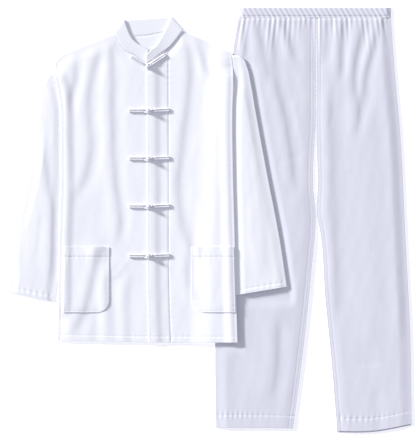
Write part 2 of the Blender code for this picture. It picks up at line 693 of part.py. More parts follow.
def make_collar(right_seam, back_seam, left_seam):
    """The stand collar: one band round the neck, its back half on the surface and its fronts over it."""
    over = COLLAR_CLOTH / 2 + 2 * COLLAR_FOLD_RADIUS
    under = COLLAR_CLOTH / 2

    def mix(start, end):
        return lambda share: start + (end - start) * ease(share)

    right_front = collar_half(right_seam, COLLAR_TOP_RIGHT, mix(over, 3.4), mix(over, 5.2))
    left_front = collar_half(left_seam, COLLAR_TOP_LEFT, mix(6.0, over), mix(8.2, over))
    right_fold = right_front[0]
    left_fold = left_front[-1]
    back = []
    for k, share in enumerate(np.linspace(0, 1, len(back_seam))):
        foot = np.array([*back_seam[k][:2], under])
        edge = right_fold[1] + share * (left_fold[1] - right_fold[1])
        edge[2] = under
        up = edge[:2] - foot[:2]
        foot[:2] += up / np.hypot(*up) * (SEAM_GAP + 0.2)
        back.append((foot, edge))

    def outward(fold, sign):
        axis = fold[1][:2] - fold[0][:2]
        normal = np.array([-axis[1], axis[0]]) / np.hypot(*axis)
        return normal * sign

    stations = [
        *right_front[::-1],
        *collar_turn(*right_fold, outward(right_fold, 1), True),
        *back,
        *collar_turn(*left_fold, outward(left_fold, -1), False),
        *left_front[::-1],
    ]
    bm = bmesh.new()
    lines = []
    for foot, edge in stations:
        line = []
        for share in (0.0, 0.5, 1.0):
            point = foot + share * (edge - foot) + np.append(JACKET_AT, 0.0)
            line.append(bm.verts.new(point * MM))
        lines.append(line)
    for one, two in zip(lines, lines[1:]):
        join_rows(bm, one, two)
    mesh = bpy.data.meshes.new("collar")
    bm.to_mesh(mesh)
    bm.free()
    obj = add_object("collar", mesh, jacket_finish("collar"))
    solid = obj.modifiers.new("cloth", "SOLIDIFY")
    solid.thickness = COLLAR_CLOTH * MM
    solid.offset = 0.0
    return obj


# Frogs


def surface_reader(objects):
    """A function giving the highest point of the given pieces within a small disc, in millimetres."""
    trees = []
    for obj in objects:
        bm = bmesh.new()
        bm.from_mesh(obj.data)
        trees.append(BVHTree.FromBMesh(bm))
        bm.free()

    def highest(point, radius):
        found = 0.0
        for angle in np.linspace(0, 2 * np.pi, 8, endpoint=False):
            for part in (0.0, 0.6, 1.0):
                spot = point + part * radius * np.array([np.cos(angle), np.sin(angle)])
                start = Vector(((spot[0] + JACKET_AT[0]) * MM, (spot[1] + JACKET_AT[1]) * MM, 0.1))
                for tree in trees:
                    hit = tree.ray_cast(start, Vector((0, 0, -1)))[0]
                    if hit is not None:
                        found = max(found, hit.z / MM)
        return found

    return highest


def cord(name, points, radii):
    """A closed tube through points, with its own radius at each."""
    curve = bpy.data.curves.new(name, "CURVE")
    curve.dimensions = "3D"
    curve.bevel_depth = CORD_RADIUS * MM
    curve.bevel_resolution = 1
    curve.use_fill_caps = True
    spline = curve.splines.new("POLY")
    spline.points.add(len(points) - 1)
    for spot, point, radius in zip(spline.points, points, radii):
        spot.co = ((point[0] + JACKET_AT[0]) * MM, (point[1] + JACKET_AT[1]) * MM, point[2] * MM, 1.0)
        spot.radius = radius / CORD_RADIUS
    guide = bpy.data.objects.new(name, curve)
    bpy.data.collections["tai_chi_uniform"].objects.link(guide)
    mesh = bpy.data.meshes.new_from_object(guide.evaluated_get(bpy.context.evaluated_depsgraph_get()))
    bpy.data.objects.remove(guide)
    bm = bmesh.new()
    bm.from_mesh(mesh)
    bmesh.ops.remove_doubles(bm, verts=bm.verts, dist=0.00001)
    bmesh.ops.recalc_face_normals(bm, faces=bm.faces)
    bm.to_mesh(mesh)
    bm.free()
    return mesh


Turn = namedtuple("Turn", "along aside raised radius")

# Half of the loop: along the strip from the ball, aside from its middle, and raised over the cloth
LOOP_TURNS = [
    Turn(46, 2.3, 0, CORD_RADIUS), Turn(34, 2.3, 0, CORD_RADIUS), Turn(22, 2.3, 0, CORD_RADIUS),
    Turn(13, 2.4, 0, CORD_RADIUS), Turn(8.5, 3.1, 0, 1.9), Turn(4.5, 4.5, 0, 1.7),
    Turn(0.5, 5.5, 0.1, FINE_CORD), Turn(-3.2, 5.4, 0.7, FINE_CORD), Turn(-6, 4.2, 2.1, FINE_CORD),
    Turn(-8, 2.3, 3.2, FINE_CORD), Turn(-8.6, 0, 3.4, FINE_CORD),
]
# Half of the ball's strip, from its end to inside the ball
KNOT_TURNS = [
    Turn(-50, 2.3, 0, CORD_RADIUS), Turn(-38, 2.3, 0, CORD_RADIUS), Turn(-26, 2.3, 0, CORD_RADIUS),
    Turn(-16, 2.2, 0, CORD_RADIUS), Turn(-12, 1.7, 0, 1.6), Turn(-7.5, 1.35, 0, NECK_CORD),
    Turn(-3, 1.2, 0.9, NECK_CORD), Turn(-0.5, 0.9, 3.4, NECK_CORD),
]


def frog_places():
    """Where each frog's ball sits and which way its two strips run: the collar's is a V."""
    places = [(np.array([0.0, 663.0]), np.array([-47.0, 27.0]), np.array([56.0, 37.0]))]
    for height in (557.0, 442.0, 327.0, 208.0):
        ball = np.array([float(through(CENTRE_FRONT, height)) + FROG_FROM_EDGE, height])
        places.append((ball, np.array([-1.0, 0.01]), np.array([1.0, 0.04])))
    return [(ball, a / np.hypot(*a), b / np.hypot(*b)) for ball, a, b in places]


def frog_point(ball, to_right, to_left, turn, sign):
    """Plan position of a turn of cord, mirrored about the strip's middle where sign is -1."""
    beside_right = np.array([to_right[1], -to_right[0]])
    beside_left = np.array([-to_left[1], to_left[0]])
    share = float(ease((turn.along + 4) / 8))
    aside = share * beside_right + (1 - share) * beside_left
    aside = aside / np.hypot(*aside)
    strip = to_right if turn.along >= 0 else -to_left
    return ball + turn.along * strip + sign * turn.aside * aside


def cord_points(ball, to_right, to_left, turns, sign, highest):
    """Points and radii of a cord that lies on the jacket, raised where its turns say so."""
    points = []
    for turn in turns:
        plan = frog_point(ball, to_right, to_left, turn, sign)
        height = highest(plan, turn.radius + 0.8) + SEAM_GAP + turn.radius + turn.raised
        points.append((*plan, height))
    return points, [turn.radius for turn in turns]


def make_frog(number, place, highest):
    """One frog: a loop of doubled cord, and the doubled cord that ends in its ball."""
    ball, to_right, to_left = place
    one, radii = cord_points(*place, LOOP_TURNS, 1, highest)
    two, _ = cord_points(*place, LOOP_TURNS[:-1], -1, highest)
    name = "frog_loop_%d" % number
    add_object(name, cord(name, [*one, *two[::-1]], [*radii, *radii[-2::-1]]), cord_finish(name))

    name = "frog_ball_%d" % number
    bm = bmesh.new()
    bmesh.ops.create_uvsphere(bm, u_segments=10, v_segments=7, radius=BALL_RADIUS * MM)
    centre = ((ball[0] + JACKET_AT[0]) * MM, (ball[1] + JACKET_AT[1]) * MM,
              (highest(ball, FINE_CORD) + BALL_HEIGHT) * MM)
    bmesh.ops.translate(bm, verts=bm.verts, vec=centre)
    mesh = bpy.data.meshes.new(name)
    bm.to_mesh(mesh)
    bm.free()
    knot = add_object(name, mesh, cord_finish(name))
    for sign in (1, -1):
        points, radii = cord_points(*place, KNOT_TURNS, sign, highest)
        strand = bpy.data.objects.new(name + "_strand", cord(name + "_strand", points, radii))
        strand.hide_render = True
        strand.display_type = "WIRE"
        bpy.data.collections["cutters"].objects.link(strand)
        union = knot.modifiers.new("strand", "BOOLEAN")
        union.operation = "UNION"
        union.object = strand
    return knot


def main():
    for obj in list(bpy.data.objects):
        bpy.data.objects.remove(obj)
    for title in ("tai_chi_uniform", "cutters"):
        bpy.context.scene.collection.children.link(bpy.data.collections.new(title))

    make_waistband()
    for side, word in ((-1, "right"), (1, "left")):
        make_trouser_back(side, word)
        make_trouser_front(side, word)

    _, back_rows, back_across = make_back()
    back_neck = np.flatnonzero((back_across >= NECK_RIGHT - 0.5) & (back_across <= NECK_LEFT + 0.5))
    seams = {}
    fronts = []
    for side, word in ((-1, "right"), (1, "left")):
        front, rows, columns, near, far, neck = make_front(side, word)
        fronts.append(front)
        past_neck = np.flatnonzero(columns >= neck - 1e-6)
        seams[word] = row_top(rows, past_neck[:-1] if side < 0 else past_neck)
        make_pocket(word, rows, columns, near, far)
        make_sleeve(side, word)
    make_collar(seams["right"], row_top(back_rows, back_neck), seams["left"][::-1])

    highest = surface_reader(fronts)
    for number, place in enumerate(frog_places(), 1):
        make_frog(number, place, highest)


main()
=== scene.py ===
"""Dresses a tai chi uniform that is laid flat: a jacket with frog buttons, partly over a pair of trousers.

Sizes are millimetres until a mesh is made. Each garment is drawn in its own frame, x to the right and y
up, from the jacket's centre front at its hem or from midway between the trouser hems. The cloth lies face
up on the plane z = 0, so the wearer's right side is on the left.
"""

from __future__ import annotations

import logging
from dataclasses import dataclass, field
from enum import Enum
from typing import Callable, Iterable, Sequence

import bmesh
import bpy
import numpy as np
from mathutils import Matrix, Vector

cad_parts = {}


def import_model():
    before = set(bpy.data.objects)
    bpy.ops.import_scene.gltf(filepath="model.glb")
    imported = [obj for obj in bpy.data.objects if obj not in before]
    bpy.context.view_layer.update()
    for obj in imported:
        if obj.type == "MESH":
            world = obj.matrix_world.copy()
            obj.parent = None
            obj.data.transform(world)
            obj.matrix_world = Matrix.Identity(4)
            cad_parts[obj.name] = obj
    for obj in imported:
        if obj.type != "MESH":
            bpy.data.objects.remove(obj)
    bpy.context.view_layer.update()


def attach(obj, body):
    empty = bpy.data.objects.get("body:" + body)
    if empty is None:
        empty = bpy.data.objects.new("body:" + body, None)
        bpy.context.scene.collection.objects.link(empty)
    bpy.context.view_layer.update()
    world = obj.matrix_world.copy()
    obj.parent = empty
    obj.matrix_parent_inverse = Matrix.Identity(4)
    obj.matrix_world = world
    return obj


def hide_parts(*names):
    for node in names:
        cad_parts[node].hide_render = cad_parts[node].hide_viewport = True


log = logging.getLogger("tai_chi_uniform")
Array = np.ndarray
Reader = Callable[[Array, Array], Array]
Path = Sequence[tuple[float, float]]

MM = 0.001
JACKET_AT = np.array([-151.0, -294.6])
TROUSERS_AT = np.array([253.0, -503.6])
TROUSERS_FROM_JACKET = TROUSERS_AT - JACKET_AT
CLOTH = 1.4
SEAM_GAP = 0.3
LAYER_GAP = 0.5
FOLD_ROOM = 3.0
FLAT_TUBE = 2 * CLOTH + SEAM_GAP
TUBE_BULGE = 1.6


class FoldForm(Enum):
    """How a fold stands: a flank falls to its right, a ridge stands up, a crease sinks in."""

    FLANK = "flank"
    RIDGE = "ridge"
    CREASE = "crease"


class Side(Enum):
    """The wearer's side, whose value is its direction along x."""

    RIGHT = -1
    LEFT = 1

    @property
    def word(self) -> str:
        """The side's name in a piece's name."""
        return self.name.lower()


def ease(t: Array) -> Array:
    """Smooth step from 0 to 1."""
    t = np.clip(t, 0.0, 1.0)
    return t * t * (3 - 2 * t)


def hump(distance: Array, width: float) -> Array:
    """A bell of height 1 about no distance."""
    return np.exp(-((distance / width) ** 2))


def through(path: Path, at: Array) -> Array:
    """Reads a smooth curve.

    Args:
        path: Rows of position and value, with rising positions.
        at: The positions to read it at.

    Returns:
        The curve's values there.
    """
    position, value = np.array(path, float).T
    slope = np.gradient(value, position)
    at = np.clip(np.asarray(at, float), position[0], position[-1])
    k = np.clip(np.searchsorted(position, at) - 1, 0, len(position) - 2)
    step = position[k + 1] - position[k]
    t = (at - position[k]) / step
    start = (1 + 2 * t) * (1 - t) ** 2 * value[k] + t * (1 - t) ** 2 * step * slope[k]
    end = t * t * (3 - 2 * t) * value[k + 1] - t * t * (1 - t) * step * slope[k + 1]
    return start + end


@dataclass(frozen=True)
class Fold:
    """One soft fold along a path of (up, across) points, or of (across, up) points where it lies level."""

    form: FoldForm
    depth: float
    width: float
    path: Path
    level: bool = False

    def height(self, x: Array, y: Array) -> Array:
        """Height of the fold, which fades out over the last quarter of its path at each end."""
        if self.level:
            x, y = y, x
        low, high = self.path[0][0], self.path[-1][0]
        fade = min(70.0, 0.25 * (high - low))
        lean = (through(self.path, y + 5) - through(self.path, y - 5)) / 10
        away = (x - through(self.path, y)) / (self.width * np.sqrt(1 + lean**2))
        ends = ease((y - low) / fade) * ease((high - y) / fade)
        if self.form is FoldForm.FLANK:
            shape = -away * np.exp(0.5 - 0.5 * away**2)
        elif self.form is FoldForm.RIDGE:
            shape = np.exp(-0.5 * away**2)
        else:
            shape = -np.exp(-0.5 * away**2)
        return self.depth * ends * shape


def relief(folds: Iterable[Fold], x: Array, y: Array, calm: Array | float = 1.0) -> Array:
    """Height of all the folds together over the lowest that the cloth lies, within FOLD_ROOM."""
    total = calm * sum(fold.height(x, y) for fold in folds)
    return FOLD_ROOM * (0.5 + 0.5 * np.tanh(2 * total / FOLD_ROOM))


def rumple(x: Array, y: Array, shift: float) -> Array:
    """The faint unevenness of pressed cloth, from 0 to 1, with most of its waves running up the cloth."""
    total = np.zeros_like(x)
    waves = ((46, 0.2, 1.0), (31, -0.25, 0.8), (67, 1.1, 0.7), (24, 0.5, 0.45), (90, -0.8, 0.9))
    for length, lean, weight in waves:
        along = x * np.cos(lean) + y * np.sin(lean)
        bend = 1.4 * np.sin(y / (1.9 * length) + shift + lean) + 0.8 * np.sin(x / (2.3 * length) - shift)
        total += weight * np.sin(2 * np.pi * along / length + bend + 7 * shift * lean)
    return 0.5 + 0.5 * np.tanh(0.8 * total)


def stitched(distance: Array, along: Array, depth: float = 0.35, pucker: float = 0.22) -> Array:
    """The dent of a row of stitches and the puckers beside it."""
    wave = np.sin(2 * np.pi * along / 13.0 + 1.7 * np.sin(along / 29.0)) * (0.6 + 0.4 * np.sin(along / 47.0))
    return pucker * wave * hump(distance, 8.0) - depth * hump(distance, 1.7)


FLANK, RIDGE, CREASE = FoldForm.FLANK, FoldForm.RIDGE, FoldForm.CREASE


@dataclass(frozen=True)
class TrouserShape:
    """Outline and heights of the trousers, in their own frame."""

    right_edge: Path = (
        (0, -240), (204, -242), (312, -238), (552, -228), (792, -211), (912, -199), (984, -187),
    )
    left_edge: Path = ((0, 230), (233, 226), (473, 214), (713, 202), (871, 188), (984, 180))
    right_inseam: Path = (
        (0, -55), (233, -26), (391, -10), (514, -1), (588, -7), (672, -5), (732, -1.5), (800, -1), (984, -1),
    )
    left_inseam: Path = (
        (0, 50), (192, 34), (312, 22), (490, 7), (514, 2), (588, 4), (672, 2), (732, 0.5), (800, 1), (984, 1),
    )
    hem: Path = ((-240, 5), (-55, 3), (50, -3), (140, -2), (230, 14))
    waist_ends: tuple[float, float] = (-185.0, 180.0)
    waist_seam: float = 989.0
    waist_top: float = 1014.0
    gathers: int = 30
    gather_depth: float = 0.6
    gather_fade: float = 130.0
    side_roll: float = 30.0
    pressed: float = 0.15
    folds: tuple[Fold, ...] = (
        Fold(FLANK, 1.0, 9, ((880, -174), (934, -173), (1000, -172))),
        Fold(FLANK, 1.2, 11, ((820, -108), (888, -125), (930, -132), (1000, -150))),
        Fold(FLANK, 1.2, 12, ((560, -48), (672, -62), (746, -74), (840, -96), (934, -103), (1000, -108))),
        Fold(FLANK, 1.1, 10, ((880, -50), (946, -68), (1000, -90))),
        Fold(CREASE, 0.8, 10, ((780, -40), (838, -56), (890, -70))),
        Fold(FLANK, 1.0, 12, ((870, 14), (930, 18), (1000, 24))),
        Fold(FLANK, 1.1, 10, ((830, 60), (912, 59), (1000, 65))),
        Fold(FLANK, 1.2, 11, ((690, 93), (768, 100), (821, 91), (888, 95), (926, 103), (1000, 117))),
        Fold(FLANK, 1.1, 10, ((740, 104), (806, 115), (852, 120), (893, 130), (930, 140), (1000, 150))),
        Fold(FLANK, 0.9, 9, ((910, 169), (950, 165), (1000, 158))),
        Fold(FLANK, 1.2, 18, ((190, 219), (360, 214), (552, 204), (744, 194), (940, 170))),
        Fold(FLANK, 1.0, 18, ((240, 46), (432, 46), (672, 38), (830, 36))),
        Fold(RIDGE, 0.9, 20, ((170, 120), (343, 137), (552, 132), (790, 118))),
        Fold(FLANK, 0.9, 13, ((60, -108), (168, -95), (280, -96))),
        Fold(RIDGE, 0.8, 20, ((40, -130), (200, -115), (420, -70), (600, -40))),
        Fold(CREASE, 0.6, 14, ((30, -190), (120, -187), (230, -187))),
        Fold(CREASE, 0.6, 10, ((-20, 152), (60, 151), (110, 150))),
    )
    fine_folds: tuple[Fold, ...] = (
        Fold(CREASE, 0.45, 4, ((96, 165), (124, 160), (156, 162)), level=True),
        Fold(CREASE, 0.35, 4, ((-100, 640), (-60, 652), (-20, 668)), level=True),
        Fold(RIDGE, 0.35, 5, ((20, 640), (60, 628), (95, 622)), level=True),
        Fold(RIDGE, 0.3, 6, ((690, -30), (740, -46), (800, -52))),
        Fold(CREASE, 0.3, 5, ((700, 24), (760, 40), (830, 46))),
    )

    def edges(self, side: Side) -> tuple[Path, Path]:
        """Outer edge and inseam of a leg."""
        if side is Side.RIGHT:
            return self.right_edge, self.right_inseam
        return self.left_edge, self.left_inseam

    def gather_wave(self, x: Array, y: Array) -> Array:
        """The gathers below the waistband, uneven in depth, which spread and fade downwards."""
        start, end = self.waist_ends
        spread = 1 + 0.12 * (self.waist_seam - y) / self.gather_fade
        turns = (x / spread - start) / (end - start) * self.gathers
        uneven = 0.75 + 0.25 * np.sin(2.1 * turns) + 0.15 * np.sin(0.9 * turns + 1)
        reach = self.gather_fade * (0.55 + 0.25 * np.sin(1.3 * turns) + 0.2 * np.sin(0.7 * turns + 2))
        fade = ease(1 - (self.waist_seam - y) / np.maximum(reach, 25.0))
        return self.gather_depth * uneven * fade * np.cos(2 * np.pi * turns)


@dataclass(frozen=True)
class JacketShape:
    """Outline and heights of the jacket, in its own frame."""

    right_side: Path = (
        (0, -216), (264, -211), (374, -208), (487, -208), (566, -209), (607, -215), (654, -223), (674, -219),
        (692, -200),
    )
    left_side: Path = ((0, 216), (264, 209), (422, 205), (559, 204), (626, 206), (664, 205), (698, 200))
    centre: Path = ((0, 4), (127, 0), (400, -1), (667, -2))
    hem: Path = ((-216, 5), (0, 1), (216, 0))
    shoulder_right: Path = ((-200, 692), (-80, 742))
    shoulder_left: Path = ((85, 749), (200, 698))
    front_neck_right: Path = ((-80, 742), (-64, 712), (-30, 690), (-4, 673), (14, 667))
    front_neck_left: Path = ((-4, 671), (1, 673), (30, 694), (54, 711), (85, 749))
    back_neck: Path = ((-80, 742), (-42, 736), (6, 739), (30, 744), (85, 749))
    neck_right: float = -80.0
    neck_left: float = 85.0
    underlap: float = 12.0
    lap: float = CLOTH + SEAM_GAP + LAYER_GAP
    placket: float = 52.0
    placket_calm: float = 0.45
    side_roll: float = 30.0
    top_roll: float = 35.0
    top_level: float = 615.0
    tuck: float = 8.0
    tuck_room: float = 12.0
    tuck_lift: float = 2 * CLOTH + SEAM_GAP + 0.7
    tuck_ramp: float = 22.0
    armpit: float = 632.0
    over_trousers: float = 3 * CLOTH + SEAM_GAP + 0.6
    leg_ramp: float = 60.0
    folds: tuple[Fold, ...] = (
        Fold(FLANK, 1.0, 11, ((440, -190), (494, -198), (566, -193), (646, -174), (720, -184))),
        Fold(FLANK, 1.1, 13, ((330, -176), (406, -148), (478, -136), (554, -143), (631, -136), (740, -106))),
        Fold(FLANK, 1.3, 13, ((225, -70), (295, -66), (391, -78), (535, -85), (631, -85), (760, -91))),
        Fold(FLANK, 1.2, 14, ((0, -190), (79, -152), (151, -133), (255, -114))),
        Fold(CREASE, 0.9, 9, ((-40, -122), (40, -122), (110, -120))),
        Fold(RIDGE, 1.0, 12, ((-30, -96), (60, -98), (150, -104), (215, -74))),
        Fold(CREASE, 0.8, 12, ((-30, -78), (60, -78), (150, -84), (205, -58))),
        Fold(FLANK, 1.0, 14, ((-40, -48), (103, -46), (185, -36))),
        Fold(FLANK, 1.2, 14, ((60, 136), (103, 116), (163, 102), (223, 104), (281, 84), (367, 73), (439, 78),
                              (588, 97), (670, 100), (760, 88))),
        Fold(FLANK, 1.1, 10, ((620, 152), (686, 131), (760, 116))),
        Fold(FLANK, 0.5, 16, ((440, 176), (583, 184), (690, 179))),
    )
    fine_folds: tuple[Fold, ...] = (
        Fold(CREASE, 0.4, 4, ((655, -206), (675, -207), (700, -206))),
        Fold(CREASE, 0.4, 5, ((655, -188), (680, -188), (712, -186))),
        Fold(CREASE, 0.3, 4, ((715, 90), (730, 89), (748, 88))),
        Fold(RIDGE, 0.7, 6, ((150, -84), (175, -64), (205, -44))),
        Fold(CREASE, 0.5, 5, ((100, 100), (160, 98), (225, 92))),
        Fold(CREASE, 0.3, 7, ((300, 150), (380, 138), (470, 146))),
        Fold(RIDGE, 0.3, 8, ((260, -40), (330, -30), (420, -36))),
        Fold(RIDGE, 0.35, 8, ((230, 40), (330, 32), (470, 40), (600, 36))),
    )
    sleeve_right: Path = (
        (122, -332), (264, -313), (336, -294), (492, -263), (631, -241), (667, -222), (692, -200),
    )
    sleeve_left: Path = (
        (134, 335), (247, 318), (408, 287), (566, 258), (624, 248), (662, 239), (684, 227), (698, 200),
    )
    cuff_right: Path = ((-332, 122), (-220, 98), (-196, 94))
    cuff_left: Path = ((190, 110), (244, 119), (335, 134))
    sleeve_folds: tuple[Fold, ...] = (
        Fold(FLANK, 1.2, 13, ((140, -232), (259, -227), (331, -229), (386, -239), (446, -248), (521, -252),
                              (640, -240))),
        Fold(FLANK, 0.7, 9, ((150, -310), (247, -306), (290, -301), (360, -290))),
        Fold(FLANK, 0.7, 16, ((140, 291), (271, 280), (463, 260), (620, 243))),
    )
    fine_sleeve_folds: tuple[Fold, ...] = (
        Fold(CREASE, 0.4, 4, ((600, 221), (650, 214), (690, 206))),
        Fold(CREASE, 0.35, 5, ((420, -268), (480, -262), (560, -256))),
        Fold(RIDGE, 0.35, 6, ((180, -280), (260, -268), (340, -262))),
        Fold(RIDGE, 0.35, 6, ((170, 262), (260, 250), (360, 246))),
        Fold(CREASE, 0.3, 5, ((300, 262), (380, 252), (470, 240))),
    )

    def side(self, side: Side) -> Path:
        """The body's outer edge."""
        return self.right_side if side is Side.RIGHT else self.left_side

    def neckline(self, side: Side) -> Path:
        """A front's neckline."""
        return self.front_neck_right if side is Side.RIGHT else self.front_neck_left

    def leg_below(self, x: Array, y: Array) -> Array:
        """Height that the trouser leg below gives the jacket, with a ramp up to it."""
        edge = through(TROUSERS.right_edge, y - TROUSERS_FROM_JACKET[1]) + TROUSERS_FROM_JACKET[0]
        return self.over_trousers * ease((x - edge + 6 + self.leg_ramp) / self.leg_ramp)

    def sleeve_below(self, x: Array, y: Array) -> Array:
        """Height that the tucked edges of the sleeves give the body's sides."""
        from_right = x - through(self.right_side, y)
        from_left = through(self.left_side, y) - x
        reach = self.tuck_room + self.tuck_ramp
        right = ease((reach - from_right) / self.tuck_ramp) * ease((y - 50) / 45)
        left = ease((reach - from_left) / self.tuck_ramp)
        return self.tuck_lift * ease((self.armpit + 33 - y) / 33) * np.maximum(right, left)

    def lift(self, x: Array, y: Array) -> Array:
        """Underside of the jacket's back."""
        return self.leg_below(x, y) + self.sleeve_below(x, y)

    def shoulder_top(self, side: Side, neck: Path, x: Array) -> Array:
        """Top edge of a body panel's half: its shoulder seam, then the neckline past the neck point."""
        if side is Side.RIGHT:
            return np.where(x < self.neck_right, through(self.shoulder_right, x), through(neck, x))
        return np.where(x > self.neck_left, through(self.shoulder_left, x), through(neck, x))

    def front_low(self, side: Side, x: Array, y: Array) -> Array:
        """Underside of a front. The left front's edge lies over the right front's underlap."""
        from_side = np.abs(x - through(self.side(side), y))
        from_top = self.shoulder_top(side, self.neckline(side), x) - y
        from_centre = x - through(self.centre, y)
        calm = (np.abs(from_centre) - 0.6 * self.placket) / (0.6 * self.placket)
        calm = self.placket_calm + (1 - self.placket_calm) * ease(calm)
        free = LAYER_GAP + relief((*self.folds, *self.fine_folds), x, y, calm)
        free = free + 0.2 * rumple(x, y, 1.0 + side.value)
        rise = free * ease(from_side / self.side_roll) * (0.3 + 0.7 * ease(from_top / self.top_roll))
        if side is Side.LEFT:
            rise = rise + self.lap * ease((self.underlap + 22 - from_centre) / 18)
            rise = rise + 0.3 * ease((self.placket - from_centre) / 3)
            rise = rise + stitched(from_centre - self.placket, y, 0.5)
            rise = rise + stitched(from_centre - 3.0, y, 0.15, 0.1)
        above_hem = y - through(self.hem, x)
        rise = rise + 0.3 * ease((14 - above_hem) / 3) + stitched(above_hem - 14, x, 0.3)
        rise = rise + stitched(from_side - 6, y, 0.25, 0.18)
        return self.lift(x, y) + CLOTH + SEAM_GAP + np.maximum(rise, 0.0)

    def front_top(self, x: Array, y: Array) -> Array:
        """Outer side of whichever front lies uppermost there."""
        x, y = np.asarray(x, float), np.asarray(y, float)
        right = self.front_low(Side.RIGHT, x, y)
        left = self.front_low(Side.LEFT, x, y)
        return CLOTH + np.where(x < through(self.centre, y), right, left)


TROUSERS = TrouserShape()
JACKET = JacketShape()


def under_jacket(x: Array, y: Array) -> Array:
    """1 where the jacket lies on the trousers, 0 clear of it, in the trousers' frame."""
    across = x + TROUSERS_FROM_JACKET[0]
    up = y + TROUSERS_FROM_JACKET[1]
    sleeve = ease((through(JACKET.sleeve_left, up) + 24 - across) / 20) * ease((up - 82) / 25)
    body = ease((through(JACKET.left_side, up) + 24 - across) / 20) * ease((up + 28) / 25)
    return np.maximum(sleeve, body) * ease((722 - up) / 20)


def trouser_rise(side: Side, x: Array, y: Array) -> Array:
    """How far a trouser front stands off the back that it lies on: nothing at its seams."""
    outer, inner = TROUSERS.edges(side)
    from_outer = np.abs(x - through(outer, y))
    from_inner = np.abs(x - through(inner, y))
    free = LAYER_GAP + relief((*TROUSERS.folds, *TROUSERS.fine_folds), x, y) + 0.2 * rumple(x, y, 3.0)
    seams = ease(from_outer / TROUSERS.side_roll) * (0.45 + 0.55 * ease(from_inner / TROUSERS.side_roll))
    rise = free * seams
    rise = rise + TROUSERS.gather_wave(x, y) * ease(rise / (1.2 * TROUSERS.gather_depth))
    above_hem = y - through(TROUSERS.hem, x)
    rise = rise + 0.3 * ease((30 - above_hem) / 3) + stitched(above_hem - 30, x, 0.3, 0.35)
    rise = rise + stitched(from_inner - 4, y, 0.2, 0.12) + stitched(from_inner - 11, y, 0.3, 0.15)
    return np.maximum(rise * (1 - (1 - TROUSERS.pressed) * under_jacket(x, y)), 0.0)


# Meshes


def sheet_through(points: Array) -> bmesh.types.BMesh:
    """A sheet through rows of points.

    Args:
        points: Rows by columns by three, in millimetres in the row's own frame.

    Returns:
        A grid whose vertices lie on the points, and whose texture map is columns by rows.
    """
    rows, columns = points.shape[:2]
    bm = bmesh.new()
    bmesh.ops.create_grid(bm, x_segments=columns - 1, y_segments=rows - 1, size=1.0, calc_uvs=True)
    placed = points * MM
    for vert in bm.verts:
        column = round((vert.co.x + 1) / 2 * (columns - 1))
        row = round((vert.co.y + 1) / 2 * (rows - 1))
        vert.co = placed[row, column]
    return bm


def thicken(bm: bmesh.types.BMesh, thickness: float = CLOTH, rounding: float = 0.45) -> None:
    """Gives a sheet a wall straight upwards and rounds its rims.

    Args:
        bm: The sheet, which becomes the wall's underside.
        thickness: The wall's height in millimetres.
        rounding: Radius of its rims in millimetres.
    """
    below = bm.faces[:]
    raised = bmesh.ops.extrude_face_region(bm, geom=below, use_keep_orig=True)["geom"]
    moved = [item for item in raised if isinstance(item, bmesh.types.BMVert)]
    bmesh.ops.translate(bm, verts=moved, vec=(0, 0, thickness * MM))
    bmesh.ops.recalc_face_normals(bm, faces=bm.faces)
    bm.normal_update()
    walls = {face for face in bm.faces if abs(face.normal.z) < 0.3}
    rims = [edge for edge in bm.edges if sum(face in walls for face in edge.link_faces) == 1]
    bmesh.ops.bevel(bm, geom=rims, offset=rounding * MM, offset_type="OFFSET", affect="EDGES", segments=2,
                    profile=0.5, material=-1, clamp_overlap=True)


def weld(bm: bmesh.types.BMesh) -> None:
    """Closes a rolled-up grid along its seams and turns its faces outwards."""
    bmesh.ops.remove_doubles(bm, verts=bm.verts, dist=0.000005)
    bmesh.ops.recalc_face_normals(bm, faces=bm.faces)


def place(bm: bmesh.types.BMesh, name: str, finish: bpy.types.Material,
          nodes: Sequence[str] = ()) -> bpy.types.Object:
    """Makes a piece of a mesh, which rides on the set and may stand for CAD nodes.

    Args:
        bm: The piece's mesh, which is freed.
        name: The piece's name.
        finish: Its material.
        nodes: The CAD nodes that it stands for.

    Returns:
        The piece.
    """
    mesh = bpy.data.meshes.new(name)
    bm.to_mesh(mesh)
    bm.free()
    mesh.shade_smooth()
    mesh.materials.append(finish)
    piece = bpy.data.objects.new(name, mesh)
    bpy.context.scene.collection.objects.link(piece)
    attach(piece, "root")
    if nodes:
        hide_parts(*nodes)
    log.info("%s: %d faces", name, len(mesh.polygons))
    return piece


def flat_ring(x: Array, y: Array, low: Array, high: Array, inset: float) -> Array:
    """One section of a flattened tube: along its upper wall, round its far side, back and round again."""
    upper = np.column_stack([x, y, high - inset])
    lower = np.column_stack([x, y, low + inset])[::-1]
    reach = max(TUBE_BULGE - inset, 0.3)

    def turn(end: int, neighbour: int, downward: bool) -> Array:
        """Points round one side of the tube."""
        outward = (upper[end] - upper[neighbour])[:2]
        outward = outward / np.hypot(*outward)
        middle = (low[end] + high[end]) / 2
        half = (high[end] - low[end]) / 2 - inset
        angles = np.radians(np.linspace(65, -65, 5) if downward else np.linspace(-65, 65, 5))
        plan = upper[end][:2] + np.outer(reach * np.cos(angles), outward)
        return np.column_stack([plan, middle + half * np.sin(angles)])

    ring = np.vstack([upper, turn(-1, -2, True), lower, turn(0, 1, False)])
    return np.vstack([ring, ring[:1]])


